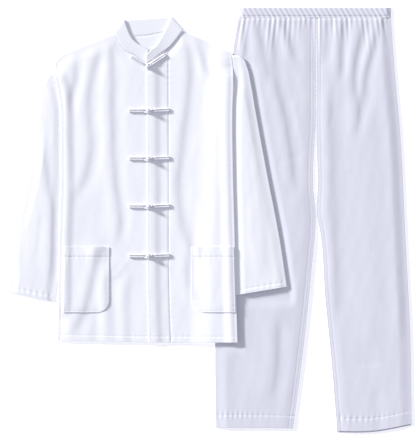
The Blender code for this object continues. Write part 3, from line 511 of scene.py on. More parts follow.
def tube_cloth(sections: Sequence[tuple[Array, Array, Array, Array]], at: Array) -> bmesh.types.BMesh:
    """A flattened open tube of cloth with a wall, as one closed skin.

    Args:
        sections: Rings as x, y, low and high arrays, from one open end to the other.
        at: Where the garment's frame lies.

    Returns:
        The mesh, whose outer side is followed over each rim to its inner side.
    """
    outer = [flat_ring(*section, 0.0) for section in sections]
    inner = [flat_ring(*section, CLOTH) for section in sections]
    rings = [*outer, *inner[::-1], outer[0]]
    points = np.array(rings)
    points[:, :, :2] += at
    bm = sheet_through(points)
    weld(bm)
    return bm


def sweep(path: Array, radii: Array, around: int = 10, closed: bool = False) -> bmesh.types.BMesh:
    """A round tube along a path.

    Args:
        path: Points in millimetres.
        radii: The tube's radius at each.
        around: Points round the tube.
        closed: Whether the path returns to its start, where its last point repeats its first.

    Returns:
        The closed tube, with rounded ends unless its path is closed.
    """
    tangent = np.gradient(path, axis=0)
    if closed:
        tangent[0] = tangent[-1] = path[1] - path[-2]
    tangent /= np.linalg.norm(tangent, axis=1)[:, None]
    normal = np.cross(tangent[0], (0.3, 0.2, 1.0))
    normals = []
    for direction in tangent:
        normal = normal - direction * (normal @ direction)
        normal = normal / np.linalg.norm(normal)
        normals.append(normal)
    normals = np.array(normals)
    others = np.cross(tangent, normals)
    if closed:
        slip = np.arctan2(normals[-1] @ others[0], normals[-1] @ normals[0])
        turn = np.linspace(0, -slip, len(path))[:, None]
        normals, others = (normals * np.cos(turn) + others * np.sin(turn),
                           others * np.cos(turn) - normals * np.sin(turn))
    angles = np.linspace(0, 2 * np.pi, around + 1)
    rings = [centre + radius * (np.outer(np.cos(angles), n) + np.outer(np.sin(angles), o))
             for centre, radius, n, o in zip(path, radii, normals, others)]
    if not closed:
        first, last = rings[0] - path[0], rings[-1] - path[-1]
        for rise, share in ((0.5, 0.85), (0.85, 0.5), (1.0, 0.0)):
            rings.insert(0, path[0] - tangent[0] * radii[0] * rise + first * share)
            rings.append(path[-1] + tangent[-1] * radii[-1] * rise + last * share)
    bm = sheet_through(np.array(rings))
    bmesh.ops.remove_doubles(bm, verts=bm.verts, dist=0.000005)
    bmesh.ops.recalc_face_normals(bm, faces=bm.faces)
    return bm


def smooth_path(points: Array, steps: int = 6) -> Array:
    """A Catmull-Rom curve through points."""
    ends = np.vstack([2 * points[0] - points[1], points, 2 * points[-1] - points[-2]])
    curve = []
    for k in range(len(points) - 1):
        a, b, c, d = ends[k:k + 4]
        for t in np.linspace(0, 1, steps, endpoint=False):
            curve.append(0.5 * (2 * b + (c - a) * t + (2 * a - 5 * b + 4 * c - d) * t**2
                                + (3 * b - a - 3 * c + d) * t**3))
    return np.array([*curve, points[-1]])


def joined(meshes: Iterable[bmesh.types.BMesh]) -> bmesh.types.BMesh:
    """One mesh of several, which are freed."""
    whole = bmesh.new()
    for part in meshes:
        held = bpy.data.meshes.new("part")
        part.to_mesh(held)
        part.free()
        whole.from_mesh(held)
        bpy.data.meshes.remove(held)
    return whole


# Finishes: the lighter and the darker of each white, where the darker of the cord's and the thread's is painted
# shade in the grooves of their twist, and how far a sleeve's threads lean
JACKET_WHITES = (0.915, 0.925, 0.955), (0.88, 0.89, 0.93)
TROUSER_WHITES = (0.76, 0.76, 0.82), (0.73, 0.73, 0.80)
CORD_WHITE_AND_GROOVE_SHADE = (0.93, 0.93, 0.95), (0.80, 0.80, 0.84)
THREAD_WHITE_AND_GROOVE_SHADE = (0.92, 0.92, 0.94), (0.84, 0.84, 0.88)
SLEEVE_GRAIN = 0.2


@dataclass(frozen=True)
class Cotton:
    """Plain-woven cotton: threads both ways, slubs, and a faint unevenness of its white."""

    name: str
    colour: tuple[float, float, float]
    shade: tuple[float, float, float]
    turn: float = 0.0
    threads_per_metre: float = 1900.0
    roughness: float = 0.88
    sheen: float = 0.12

    def build(self) -> bpy.types.Material:
        """The finish as a material."""
        made = bpy.data.materials.new(self.name)
        made.use_nodes = True
        tree = made.node_tree
        shader = tree.nodes["Principled BSDF"]
        shader.inputs["Sheen Weight"].default_value = self.sheen
        shader.inputs["Sheen Roughness"].default_value = 0.6
        shader.inputs["Specular IOR Level"].default_value = 0.25
        spots = tree.nodes.new("ShaderNodeTexCoord")
        turned = tree.nodes.new("ShaderNodeMapping")
        turned.inputs["Rotation"].default_value = (0, 0, self.turn)
        tree.links.new(spots.outputs["Object"], turned.inputs["Vector"])

        def noise(stretch: tuple[float, float, float], scale: float, detail: float) -> bpy.types.NodeSocket:
            """A noise stretched along the threads."""
            stretched = tree.nodes.new("ShaderNodeMapping")
            stretched.inputs["Scale"].default_value = stretch
            tree.links.new(turned.outputs["Vector"], stretched.inputs["Vector"])
            texture = tree.nodes.new("ShaderNodeTexNoise")
            texture.inputs["Scale"].default_value = scale
            texture.inputs["Detail"].default_value = detail
            tree.links.new(stretched.outputs["Vector"], texture.inputs["Vector"])
            return texture.outputs["Fac"]

        def blend(kind: str, one: bpy.types.NodeSocket, two: bpy.types.NodeSocket | float) -> bpy.types.NodeSocket:
            """Sum, product or larger of two values."""
            node = tree.nodes.new("ShaderNodeMath")
            node.operation = kind
            tree.links.new(one, node.inputs[0])
            if isinstance(two, float):
                node.inputs[1].default_value = two
            else:
                tree.links.new(two, node.inputs[1])
            return node.outputs[0]

        weave = None
        for direction in ("X", "Y"):
            wave = tree.nodes.new("ShaderNodeTexWave")
            wave.bands_direction = direction
            wave.inputs["Scale"].default_value = self.threads_per_metre / 20
            wave.inputs["Distortion"].default_value = 0.6
            wave.inputs["Detail"].default_value = 1.0
            tree.links.new(turned.outputs["Vector"], wave.inputs["Vector"])
            weave = wave.outputs["Fac"] if weave is None else blend("MAXIMUM", weave, wave.outputs["Fac"])
        slub = blend("ADD", noise((1, 0.06, 1), 900, 2), noise((0.06, 1, 1), 900, 2))
        mottle = noise((1, 1, 1), 14, 4)
        tone = blend("ADD", blend("MULTIPLY", slub, 0.3), blend("MULTIPLY", mottle, 0.7))
        ramp = tree.nodes.new("ShaderNodeValToRGB")
        ramp.color_ramp.elements[0].position = 0.35
        ramp.color_ramp.elements[0].color = (*self.shade, 1)
        ramp.color_ramp.elements[1].position = 0.75
        ramp.color_ramp.elements[1].color = (*self.colour, 1)
        tree.links.new(tone, ramp.inputs["Fac"])
        tree.links.new(ramp.outputs["Color"], shader.inputs["Base Color"])
        matt = tree.nodes.new("ShaderNodeMapRange")
        matt.inputs["To Min"].default_value = self.roughness - 0.06
        matt.inputs["To Max"].default_value = self.roughness + 0.06
        tree.links.new(slub, matt.inputs["Value"])
        tree.links.new(matt.outputs["Result"], shader.inputs["Roughness"])
        crimp = tree.nodes.new("ShaderNodeBump")
        crimp.inputs["Strength"].default_value = 0.35
        crimp.inputs["Distance"].default_value = 0.00012
        tree.links.new(blend("ADD", blend("MULTIPLY", weave, 0.5), slub), crimp.inputs["Height"])
        soft = tree.nodes.new("ShaderNodeBump")
        soft.inputs["Strength"].default_value = 0.4
        soft.inputs["Distance"].default_value = 0.00025
        tree.links.new(noise((1, 0.5, 1), 55, 3), soft.inputs["Height"])
        tree.links.new(crimp.outputs["Normal"], soft.inputs["Normal"])
        tree.links.new(soft.outputs["Normal"], shader.inputs["Normal"])
        return made


@dataclass(frozen=True)
class RolledCord:
    """Bias-cut cotton rolled into cord or thread, with a slanting twist along its own map and painted shade in the
    twist's grooves.
    """

    name: str
    colour: tuple[float, float, float]
    shade: tuple[float, float, float]
    turns: float = 60.0
    roughness: float = 0.7

    def build(self) -> bpy.types.Material:
        """The finish as a material."""
        made = bpy.data.materials.new(self.name)
        made.use_nodes = True
        tree = made.node_tree
        shader = tree.nodes["Principled BSDF"]
        shader.inputs["Sheen Weight"].default_value = 0.2
        shader.inputs["Specular IOR Level"].default_value = 0.35
        shader.inputs["Roughness"].default_value = self.roughness
        spots = tree.nodes.new("ShaderNodeTexCoord")
        slant = tree.nodes.new("ShaderNodeMapping")
        slant.inputs["Scale"].default_value = (3, self.turns, 1)
        tree.links.new(spots.outputs["UV"], slant.inputs["Vector"])
        grain = tree.nodes.new("ShaderNodeTexWave")
        grain.bands_direction = "DIAGONAL"
        grain.inputs["Scale"].default_value = 1.0
        grain.inputs["Distortion"].default_value = 1.5
        tree.links.new(slant.outputs["Vector"], grain.inputs["Vector"])
        # Painted shade: the colour turns to the darker white where the twist's grooves lie low in the bump.
        ramp = tree.nodes.new("ShaderNodeValToRGB")
        ramp.color_ramp.elements[0].color = (*self.shade, 1)
        ramp.color_ramp.elements[1].color = (*self.colour, 1)
        tree.links.new(grain.outputs["Fac"], ramp.inputs["Fac"])
        tree.links.new(ramp.outputs["Color"], shader.inputs["Base Color"])
        bump = tree.nodes.new("ShaderNodeBump")
        bump.inputs["Strength"].default_value = 0.5
        bump.inputs["Distance"].default_value = 0.0002
        tree.links.new(grain.outputs["Fac"], bump.inputs["Height"])
        tree.links.new(bump.outputs["Normal"], shader.inputs["Normal"])
        return made


# Stitches


@dataclass
class Stitching:
    """Rows of machine stitches, each a small grain of thread on the cloth."""

    name: str
    at: Array
    pitch: float = 3.2
    length: float = 2.3
    thickness: float = 0.5
    grains: list[Matrix] = field(default_factory=list)

    def run(self, path: Array, height: Reader, sunk: float = 0.0) -> None:
        """Sews along a path.

        Args:
            path: Points (x, y) in the garment's frame.
            height: Gives the cloth's outer side there.
            sunk: How far the thread's middle lies below it.
        """
        steps = np.hypot(*np.diff(path, axis=0).T)
        run = np.concatenate([[0.0], np.cumsum(steps)])
        count = max(int(run[-1] / self.pitch), 1)
        spots = (np.arange(count) + 0.5) * run[-1] / count
        ends = [
            np.column_stack([np.interp(spots + half, run, path[:, axis]) for axis in (0, 1)])
            for half in (-self.length / 2, self.length / 2)
        ]
        levels = [height(end[:, 0], end[:, 1]) - sunk for end in ends]
        for start, end, low, high in zip(*ends, *levels):
            one = Vector((start[0] + self.at[0], start[1] + self.at[1], low))
            two = Vector((end[0] + self.at[0], end[1] + self.at[1], high))
            aim = (two - one).to_track_quat("X", "Z").to_matrix().to_4x4()
            size = Matrix.Diagonal((self.length, self.thickness, self.thickness * 0.7, 1.0))
            self.grains.append(Matrix.Scale(MM, 4) @ Matrix.Translation((one + two) / 2) @ aim @ size)

    def build(self, finish: bpy.types.Material, slot: str) -> bpy.types.Object:
        """The stitches as one piece."""
        parts = []
        for first in range(0, len(self.grains), 100):
            part = bmesh.new()
            for grain in self.grains[first:first + 100]:
                bmesh.ops.create_icosphere(part, subdivisions=1, radius=0.5, matrix=grain, calc_uvs=True)
            parts.append(part)
        return place(joined(parts), self.name, finish)


# Trousers


def laid(points_x: Array, points_y: Array, low: Array, at: Array) -> Array:
    """Rows of points of a sheet in the row's frame."""
    return np.dstack([points_x + at[0], points_y + at[1], low])


@dataclass
class TrouserLeg:
    """One leg: its front panel with folds and gathers, and its back panel below it."""

    side: Side
    finish: bpy.types.Material
    columns: int = 132
    row_step: float = 6.5
    back_drop: float = 3.0

    def grid(self, columns: int, levels: Array, shrink: float = 0.0, drop: float = 0.0) -> tuple[Array, Array]:
        """Rows of x and y over the leg, level but for the lowest, which follow the hem."""
        outer, inner = TROUSERS.edges(self.side)
        sign = self.side.value
        y = np.repeat(levels[:, None], columns + 1, axis=1)
        share = np.linspace(0, 1, columns + 1)[None, :]
        outer_x = through(outer, y) - sign * shrink
        inner_x = through(inner, y) + sign * SEAM_GAP / 2
        left, right = (outer_x, inner_x) if sign < 0 else (inner_x, outer_x)
        x = left + share * (right - left)
        y = y + (through(TROUSERS.hem, x) - drop) * np.clip(1 - y / 60, 0, 1)
        return x, y

    def levels(self, step: float) -> Array:
        """Heights of the rows, close together at the hem's stitches and at the waist."""
        close = [0, 2, 5, 10, 16, 22, 25, 27, 28.5, 30, 31.5, 33, 35, 38]
        top = TROUSERS.waist_seam - SEAM_GAP
        return np.concatenate([close, np.arange(44, top - 4, step), [top]])

    def build(self) -> list[bpy.types.Object]:
        """Front and back panel."""
        x, y = self.grid(self.columns, self.levels(self.row_step))
        bm = sheet_through(laid(x, y, CLOTH + SEAM_GAP + trouser_rise(self.side, x, y), TROUSERS_AT))
        thicken(bm)
        name = "trouser_front_" + self.side.word
        front = place(bm, name, self.finish, [name])

        drop = self.back_drop if self.side is Side.LEFT else 0.0
        x, y = self.grid(40, self.levels(14), 1.0, drop)
        bm = sheet_through(laid(x, y, np.zeros_like(x), TROUSERS_AT))
        thicken(bm)
        name = "trouser_back_" + self.side.word
        back = place(bm, name, self.finish, [name])
        return [front, back]

    def sew(self, stitches: Stitching) -> None:
        """Hem, double inseam and, above the crotch, the double centre seam."""
        outer, inner = TROUSERS.edges(self.side)
        sign = self.side.value

        def top(x: Array, y: Array) -> Array:
            """Outer side of the front."""
            return 2 * CLOTH + SEAM_GAP + trouser_rise(self.side, x, y)

        x = np.linspace(float(through(outer, 30.0)) - 4 * sign, float(through(inner, 30.0)) + 3 * sign, 60)
        stitches.run(np.column_stack([x, through(TROUSERS.hem, x) + 30]), top)
        y = np.linspace(34, TROUSERS.waist_seam - 6, 200)
        for reach in (4.0, 11.0):
            stitches.run(np.column_stack([through(inner, y) + sign * reach, y]), top)
        stitches.run(np.column_stack([through(outer, y) - sign * 5, y]), top)


@dataclass
class Waistband:
    """The elastic waist: a flattened ring of cloth, gathered in front and flat where it rests."""

    finish: bpy.types.Material
    height: float = 5.0
    slant: float = 0.05
    columns: int = 300

    def crest(self, x: Array, y: Array) -> Array:
        """The gathers' height, slanting to the left as they go up."""
        start, end = TROUSERS.waist_ends
        turns = (x - start) / (end - start) * TROUSERS.gathers + self.slant * (y - TROUSERS.waist_seam)
        uneven = 0.8 + 0.2 * np.sin(2.1 * turns) + 0.1 * np.sin(0.9 * turns + 1)
        return uneven * (np.cos(2 * np.pi * turns) + 0.25 * np.cos(4 * np.pi * turns + 0.8))

    def upper(self, x: Array, y: Array) -> Array:
        """Outer side of the front of the band."""
        start, end = TROUSERS.waist_ends
        ends = ease((x - start) / 12) * ease((end - x) / 12)
        edge = ease((y - TROUSERS.waist_seam) / 4) * ease((TROUSERS.waist_top - y) / 3)
        depth = TROUSERS.gather_depth * (0.55 + 0.5 * edge)
        pinch = 0.8 * hump(y - (TROUSERS.waist_seam + 3.5), 1.6)
        over = self.height - FLAT_TUBE + depth * self.crest(x, y) + 0.5 * edge - pinch
        return FLAT_TUBE + np.maximum(over, 0.0) * ends

    def build(self) -> bpy.types.Object:
        """The band."""
        start, end = TROUSERS.waist_ends
        x = np.linspace(start + TUBE_BULGE, end - TUBE_BULGE, self.columns + 1)
        sections = []
        for step in (0, 0.6, 1.8, 2.7, 3.5, 4.3, 5.2, 7, 10, 13, 16, 19, 21, 23, 24.3, 25):
            y = np.full_like(x, TROUSERS.waist_seam + step)
            sections.append((x, y, np.zeros_like(x), self.upper(x, y)))
        bm = tube_cloth(sections, TROUSERS_AT)
        band = place(bm, "waistband", self.finish, ["waistband"])
        return band

    def sew(self, stitches: Stitching) -> None:
        """The row that holds the elastic in."""
        start, end = TROUSERS.waist_ends
        x = np.linspace(start + 4, end - 4, 400)
        stitches.run(np.column_stack([x, np.full_like(x, TROUSERS.waist_seam + 3.5)]), self.upper)


# Jacket


@dataclass(frozen=True)
class Columns:
    """Columns of a body panel: some at fixed distances from its side and its centre, others between."""

    from_side: Sequence[float]
    between: int
    from_centre: Sequence[float]

    def spread(self, side: Side) -> tuple[Array, Array]:
        """Each column's share of the side edge, and its offset, from left to right."""
        first, last = self.from_side[-1], self.from_centre[-1]
        share = np.linspace(1, 0, self.between + 2)
        inward = first * share - last * (1 - share)
        share = np.concatenate([np.ones(len(self.from_side) - 1), share, np.zeros(len(self.from_centre) - 1)])
        offset = np.concatenate([self.from_side[:-1], inward, -np.array(self.from_centre[:-1][::-1])])
        if side is Side.RIGHT:
            return share, offset
        return share[::-1], -offset[::-1]


def body_grid(outer: Path, inner: Callable[[Array], Array], share: Array, offset: Array, levels: Array, fan: int,
              top: Callable[[Array], Array]) -> tuple[Array, Array]:
    """Rows of x and y of a body panel.

    Args:
        outer: Its side edge.
        inner: Gives its other edge.
        share: Each column's share of the side edge.
        offset: Each column's own distance from where its share puts it.
        levels: Heights of the level rows, from the hem.
        fan: Rows above them, which turn to meet the top edge.
        top: Gives the top edge.

    Returns:
        x and y, rows by columns.
    """

    def across(y: Array) -> Array:
        """x of the columns at their own heights."""
        return share * through(outer, y) + (1 - share) * inner(y) + offset

    rows_x, rows_y = [], []
    for level in levels:
        y = np.full_like(share, level)
        x = across(y)
        rows_x.append(x)
        rows_y.append(y + through(JACKET.hem, x) * max(1 - level / 60, 0.0))
    crown = np.full_like(share, levels[-1])
    for _ in range(8):
        crown = top(across(crown))
    for step in np.linspace(0, 1, fan + 1)[1:]:
        y = levels[-1] + (crown - levels[-1]) * step
        rows_x.append(across(y))
        rows_y.append(y)
    return np.array(rows_x), np.array(rows_y)


@dataclass
class JacketFront:
    """One front, whose placket edge, hem and side are stitched."""

    side: Side
    finish: bpy.types.Material
    plan: Columns = Columns(
        (0, 1.5, 3, 4.5, 6, 7.5, 9, 12, 16, 20, 25, 30, 35), 26,
        (0, 1.5, 3, 4.5, 7, 11, 16, 21, 26, 31, 36, 41, 45, 48, 49.7, 51, 52, 53, 54.3, 56, 59, 64, 70),
    )

    def levels(self) -> Array:
        """Heights of the level rows, close together at the hem's stitches."""
        close = [0, 1.5, 4, 7, 10, 11.5, 12.8, 14, 15.2, 16.5, 18, 21, 25]
        return np.concatenate([close, np.arange(30, JACKET.top_level - 2, 5), [JACKET.top_level]])

    def build(self) -> bpy.types.Object:
        """The front."""
        past = JACKET.underlap if self.side is Side.RIGHT else 0.0
        share, offset = self.plan.spread(self.side)
        neckline = JACKET.neckline(self.side)
        x, y = body_grid(JACKET.side(self.side), lambda up: through(JACKET.centre, up) + past, share, offset,
                         self.levels(), 26, lambda at: JACKET.shoulder_top(self.side, neckline, at))
        bm = sheet_through(laid(x, y, JACKET.front_low(self.side, x, y), JACKET_AT))
        thicken(bm)
        name = "front_" + self.side.word
        piece = place(bm, name, self.finish, [name])
        return piece

    def sew(self, stitches: Stitching) -> None:
        """Hem and side, and on the left front the placket's two rows."""
        outer = JACKET.side(self.side)
        sign = self.side.value

        def top(x: Array, y: Array) -> Array:
            """Outer side of this front."""
            return CLOTH + JACKET.front_low(self.side, x, y)

        x = np.linspace(6 * sign, float(through(outer, 14.0)) - 3 * sign, 120)
        stitches.run(np.column_stack([x, through(JACKET.hem, x) + 14]), top)
        y = np.linspace(16, 640, 160)
        stitches.run(np.column_stack([through(outer, y) - 6 * sign, y]), top)
        if self.side is Side.LEFT:
            for reach, end in ((3.0, 668.0), (JACKET.placket, 704.0)):
                y = np.linspace(2, end, 160)
                stitches.run(np.column_stack([through(JACKET.centre, y) + reach, y]), top)


@dataclass
class JacketBack:
    """The back, flat on the surface and lifted where it lies on a sleeve or the trousers."""

    finish: bpy.types.Material
    width: float = 432.0

    def build(self) -> bpy.types.Object:
        """The back."""
        half = np.concatenate([[0, 6, 12, 17, 22, 28, 34], np.linspace(50, 200, 16)])
        share = 1 - np.concatenate([half / self.width, [0.5], (self.width - half[::-1]) / self.width])

        def top(x: Array) -> Array:
            """The shoulders and the back neckline."""
            over_right = JACKET.shoulder_top(Side.RIGHT, JACKET.back_neck, x)
            return np.where(x > JACKET.neck_left, JACKET.shoulder_top(Side.LEFT, JACKET.back_neck, x), over_right)

        right = [(up, across + 1) for up, across in JACKET.right_side]
        left = [(up, across - 1) for up, across in JACKET.left_side]
        levels = np.concatenate([[0, 6, 14, 22], np.arange(34, JACKET.top_level - 2, 9), [JACKET.top_level]])
        x, y = body_grid(right, lambda up: through(left, up), share, np.zeros_like(share), levels, 18, top)
        bm = sheet_through(laid(x, y, JACKET.lift(x, y), JACKET_AT))
        thicken(bm)
        piece = place(bm, "jacket_back", self.finish, ["jacket_back"])
        return piece


@dataclass
class PatchPocket:
    """A patch pocket on a front, with a hemmed mouth that gapes a little and a rounded inner corner."""

    side: Side
    finish: bpy.types.Material
    near: float
    far: float
    gape_at: float
    bottom: float = 73.0
    top: float = 230.0
    corner: float = 30.0
    hem: float = 24.0
    gape: float = 2.6

    def edges(self, y: Array) -> tuple[Array, Array]:
        """x of the outer and the inner edge, the inner one rounded at the bottom."""
        sign = self.side.value
        side_edge = through(JACKET.side(self.side), y) - sign * self.near
        above = np.clip(y - self.bottom, 0, self.corner)
        cut = self.corner - np.sqrt(np.maximum(self.corner**2 - (self.corner - above) ** 2, 0.0))
        inner = through(JACKET.side(self.side), self.bottom + 0 * y) - sign * (self.far - cut)
        return side_edge, inner

    def low(self, x: Array, y: Array) -> Array:
        """Underside of the pocket."""
        sign = self.side.value
        outer, inner = self.edges(y)
        from_outer = sign * (outer - x)
        from_inner = sign * (x - inner)
        from_bottom = y - self.bottom
        from_top = self.top - y
        inside = ease(from_outer / 16) * ease(from_inner / 16) * ease(from_bottom / 16)
        rise = inside * (0.35 + 0.25 * rumple(x, y, 5.0 + sign))
        mouth = hump(from_top, 26.0) * hump(x - self.gape_at, 22.0)
        rise = rise + self.gape * mouth * ease(from_outer / 20) * ease(from_inner / 14)
        rise = rise + 0.35 * ease((self.hem - from_top) / 3) + stitched(from_top - self.hem, x, 0.3, 0.35)
        rise = rise + 0.12 * hump(from_top, 8.0) * np.sin(x / 3.1)
        rise = rise + stitched(from_inner - 3, y, 0.25, 0.12) + stitched(from_bottom - 3, x, 0.25, 0.12)
        base = JACKET.front_low(self.side, x, y)
        return base + CLOTH + LAYER_GAP + np.maximum(rise, -0.3)

    def build(self) -> bpy.types.Object:
        """The pocket."""
        rise = np.concatenate([
            self.corner * (1 - np.cos(np.linspace(0, np.pi / 2, 16))),
            np.linspace(self.corner, self.top - self.bottom - self.hem - 4, 26)[1:],
            self.top - self.bottom - self.hem
            + np.array([-2.5, -1.2, 0, 1.2, 2.5, 5, 8, 12, 16, 19, 21.5, 23, 24]),
        ])
        across = np.concatenate([[0, 1.5, 3, 4.5, 7], np.linspace(11, 93, 24), [96, 98.5, 100]]) / 100
        y = np.repeat((self.bottom + rise)[:, None], len(across), axis=1)
        outer, inner = self.edges(y)
        left, right = (outer, inner) if self.side is Side.RIGHT else (inner, outer)
        u = across if self.side is Side.RIGHT else 1 - across[::-1]
        x = left + u[None, :] * (right - left)
        bm = sheet_through(laid(x, y, self.low(x, y), JACKET_AT))
        thicken(bm, rounding=0.4)
        name = "pocket_" + self.side.word
        piece = place(bm, name, self.finish, [name])
        return piece

    def sew(self, stitches: Stitching) -> None:
        """Rows along the sides, round the bottom and across the hemmed mouth."""
        sign = self.side.value

        def top(x: Array, y: Array) -> Array:
            """Outer side of the pocket."""
            return CLOTH + self.low(x, y)

        rounded = 27 * (1 - np.cos(np.linspace(0, np.pi / 2, 14)))
        y = self.bottom + 3 + np.concatenate([rounded, np.linspace(28, 153, 40)])
        outer, inner = self.edges(y - 3 * (y < self.bottom + 30))
        stitches.run(np.column_stack([inner + sign * 3, y]), top)
        x = np.linspace(float(outer[0]) - 3 * sign, float(inner[0]) + 3 * sign, 30)
        stitches.run(np.column_stack([x, np.full_like(x, self.bottom + 3)]), top)
        if self.near > 5:
            stitches.run(np.column_stack([outer - sign * 3, y]), top)
        level = self.top - self.hem
        ends = self.edges(np.array([level]))
        x = np.linspace(float(ends[0][0]) - 3 * sign, float(ends[1][0]) + 4 * sign, 40)
        stitches.run(np.column_stack([x, np.full_like(x, level)]), top)


@dataclass
class Sleeve:
    """A sleeve laid down beside the body: a flat tube whose inner edge tucks under the body's side."""

    side: Side
    finish: bpy.types.Material
    top: float
    columns: int = 56
    rows: int = 110
    hem: float = 12.0

    def reach(self, y: Array) -> Array:
        """How far the sleeve goes in under the body's edge."""
        tucked = -LAYER_GAP + (JACKET.tuck + LAYER_GAP) * ease((JACKET.armpit - y) / 50)
        if self.side is Side.RIGHT:
            tucked = tucked - (JACKET.tuck + 4) * ease((200 - y) / 90)
        return tucked

    def outline(self) -> Path:
        """The sleeve's outer edge."""
        return JACKET.sleeve_right if self.side is Side.RIGHT else JACKET.sleeve_left

    def cuff(self) -> Path:
        """The sleeve's lower edge."""
        return JACKET.cuff_right if self.side is Side.RIGHT else JACKET.cuff_left

    def ends(self, y: Array) -> tuple[Array, Array]:
        """x of the outer edge and of the tucked edge."""
        sign = self.side.value
        out = through(self.outline(), y) - sign * TUBE_BULGE
        tucked = through(JACKET.side(self.side), y) - sign * (self.reach(y) - TUBE_BULGE)
        return out, tucked

    def upper(self, x: Array, y: Array) -> Array:
        """Outer side of the sleeve's upper wall."""
        out, tucked = self.ends(y)
        sides = ease(np.abs(x - out) / 22) * ease((np.abs(x - tucked) - 8) / 22)
        free = LAYER_GAP + relief((*JACKET.sleeve_folds, *JACKET.fine_sleeve_folds), x, y)
        free = free + 0.2 * rumple(x, y, 8.0 + self.side.value)
        above = y - through(self.cuff(), x)
        cuff = 0.3 * ease((self.hem - above) / 3) + stitched(above - self.hem, x, 0.3, 0.35)
        return JACKET.leg_below(x, y) + FLAT_TUBE + np.maximum(free * sides + cuff * ease(sides * 4), 0.0)

    def build(self) -> bpy.types.Object:
        """The sleeve."""
        u = np.linspace(0, 1, self.columns)
        close = np.array([0, 1.2, 3.5, 6.5, 9, 10.5, 12, 13.5, 15, 18]) / 540
        steps = np.concatenate([close, np.linspace(22 / 540, 1, self.rows)])
        sections = []
        for step in steps[::-1]:
            y = np.full_like(u, 400.0)
            for _ in range(8):
                out, tucked = self.ends(y)
                hem = through(self.cuff(), out + u * (tucked - out))
                y = hem + (self.top - hem) * step
            out, tucked = self.ends(y)
            x = out + u * (tucked - out)
            section = (x, y, JACKET.leg_below(x, y), self.upper(x, y))
            if self.side is Side.LEFT:
                section = tuple(row[::-1] for row in section)
            sections.append(section)
        bm = tube_cloth(sections, JACKET_AT)
        name = "sleeve_" + self.side.word
        piece = place(bm, name, self.finish, [name])
        return piece

    def sew(self, stitches: Stitching) -> None:
        """The cuff's row."""
        out, tucked = self.ends(np.array([120.0]))
        x = np.linspace(float(out[0]) - 3 * self.side.value, float(tucked[0]) + 12 * self.side.value, 60)
        stitches.run(np.column_stack([x, through(self.cuff(), x) + self.hem]), self.upper)


@dataclass
class Collar:
    """The stand collar: one band round the neck, its back half on the surface and its fronts over it."""

    finish: bpy.types.Material
    thickness: float = 2.2
    fold_radius: float = 2.1
    right_top: Path = ((-56, 775), (-42, 738), (-28, 721), (-11, 711), (2, 702))
    left_top: Path = ((-3, 690), (6, 701), (21, 713), (37, 741), (56, 782))
    stations: int = 26
    across: int = 9

    def half(self, side: Side) -> list[tuple[Array, Array]]:
        """Stations of a front half from its side fold to its front end, each foot and top edge."""
        top = self.right_top if side is Side.RIGHT else self.left_top
        neck = JACKET.neckline(side)
        start, end = (-80.0, -1.0) if side is Side.RIGHT else (85.0, -4.0)
        over = self.thickness / 2 + 2 * self.fold_radius
        foot_end, top_end = (3.4, 5.2) if side is Side.RIGHT else (6.0, 8.2)
        fold_at, front_at = (top[0][0], top[-1][0]) if side is Side.RIGHT else (top[-1][0], top[0][0])
        made = []
        for share in np.linspace(0, 1, self.stations):
            x = start + share * (end - start)
            at = fold_at + share * (front_at - fold_at)
            foot = np.array([x, float(through(neck, x)), over + (foot_end - over) * float(ease(share))])
            edge = np.array([at, float(through(top, at)), over + (top_end - over) * float(ease(share))])
            up = edge[:2] - foot[:2]
            foot[:2] += up / np.hypot(*up) * (SEAM_GAP + 0.2)
            made.append((foot, edge))
        return made

    def turn(self, fold: tuple[Array, Array], sign: int) -> list[tuple[Array, Array]]:
        """Stations round a side fold from its upper to its under layer."""
        axis = fold[1][:2] - fold[0][:2]
        outward = sign * np.array([-axis[1], axis[0]]) / np.hypot(*axis)
        middle = self.thickness / 2 + self.fold_radius
        made = []
        for angle in np.radians(np.linspace(90, -90, 9))[1:-1]:
            shift = outward * self.fold_radius * np.cos(angle)
            height = middle + self.fold_radius * np.sin(angle)
            made.append(tuple(np.array([*(p[:2] + shift), height]) for p in fold))
        return made

    def build(self) -> bpy.types.Object:
        """The collar."""
        right, left = self.half(Side.RIGHT), self.half(Side.LEFT)
        back = []
        for share in np.linspace(0, 1, 2 * self.stations):
            x = -80 + 165 * share
            foot = np.array([x, float(through(JACKET.back_neck, x)), self.thickness / 2])
            edge = right[0][1] + share * (left[0][1] - right[0][1])
            edge[2] = self.thickness / 2
            up = edge[:2] - foot[:2]
            foot[:2] += up / np.hypot(*up) * (SEAM_GAP + 0.2)
            back.append((foot, edge))
        stations = [*right[::-1], *self.turn(right[0], 1), *back, *self.turn(left[0], -1)[::-1], *left]
        share = np.linspace(0, 1, self.across)
        points = np.array([[foot + s * (edge - foot) for s in share] for foot, edge in stations])
        points[:, :, :2] += JACKET_AT
        bm = sheet_through(points)
        piece = place(bm, "collar", self.finish, ["collar"])
        wall = piece.modifiers.new("cloth", "SOLIDIFY")
        wall.thickness = self.thickness * MM
        wall.offset = 0.0
        rim = piece.modifiers.new("rim", "BEVEL")
        rim.width = 0.0007
        rim.segments = 2
        rim.limit_method = "ANGLE"
        return piece


# Frogs


@dataclass(frozen=True)
class Turn:
    """A point of a frog's cord: along its strip, aside from the strip's middle, and raised off the cloth."""

    along: float
    aside: float
    raised: float
    radius: float


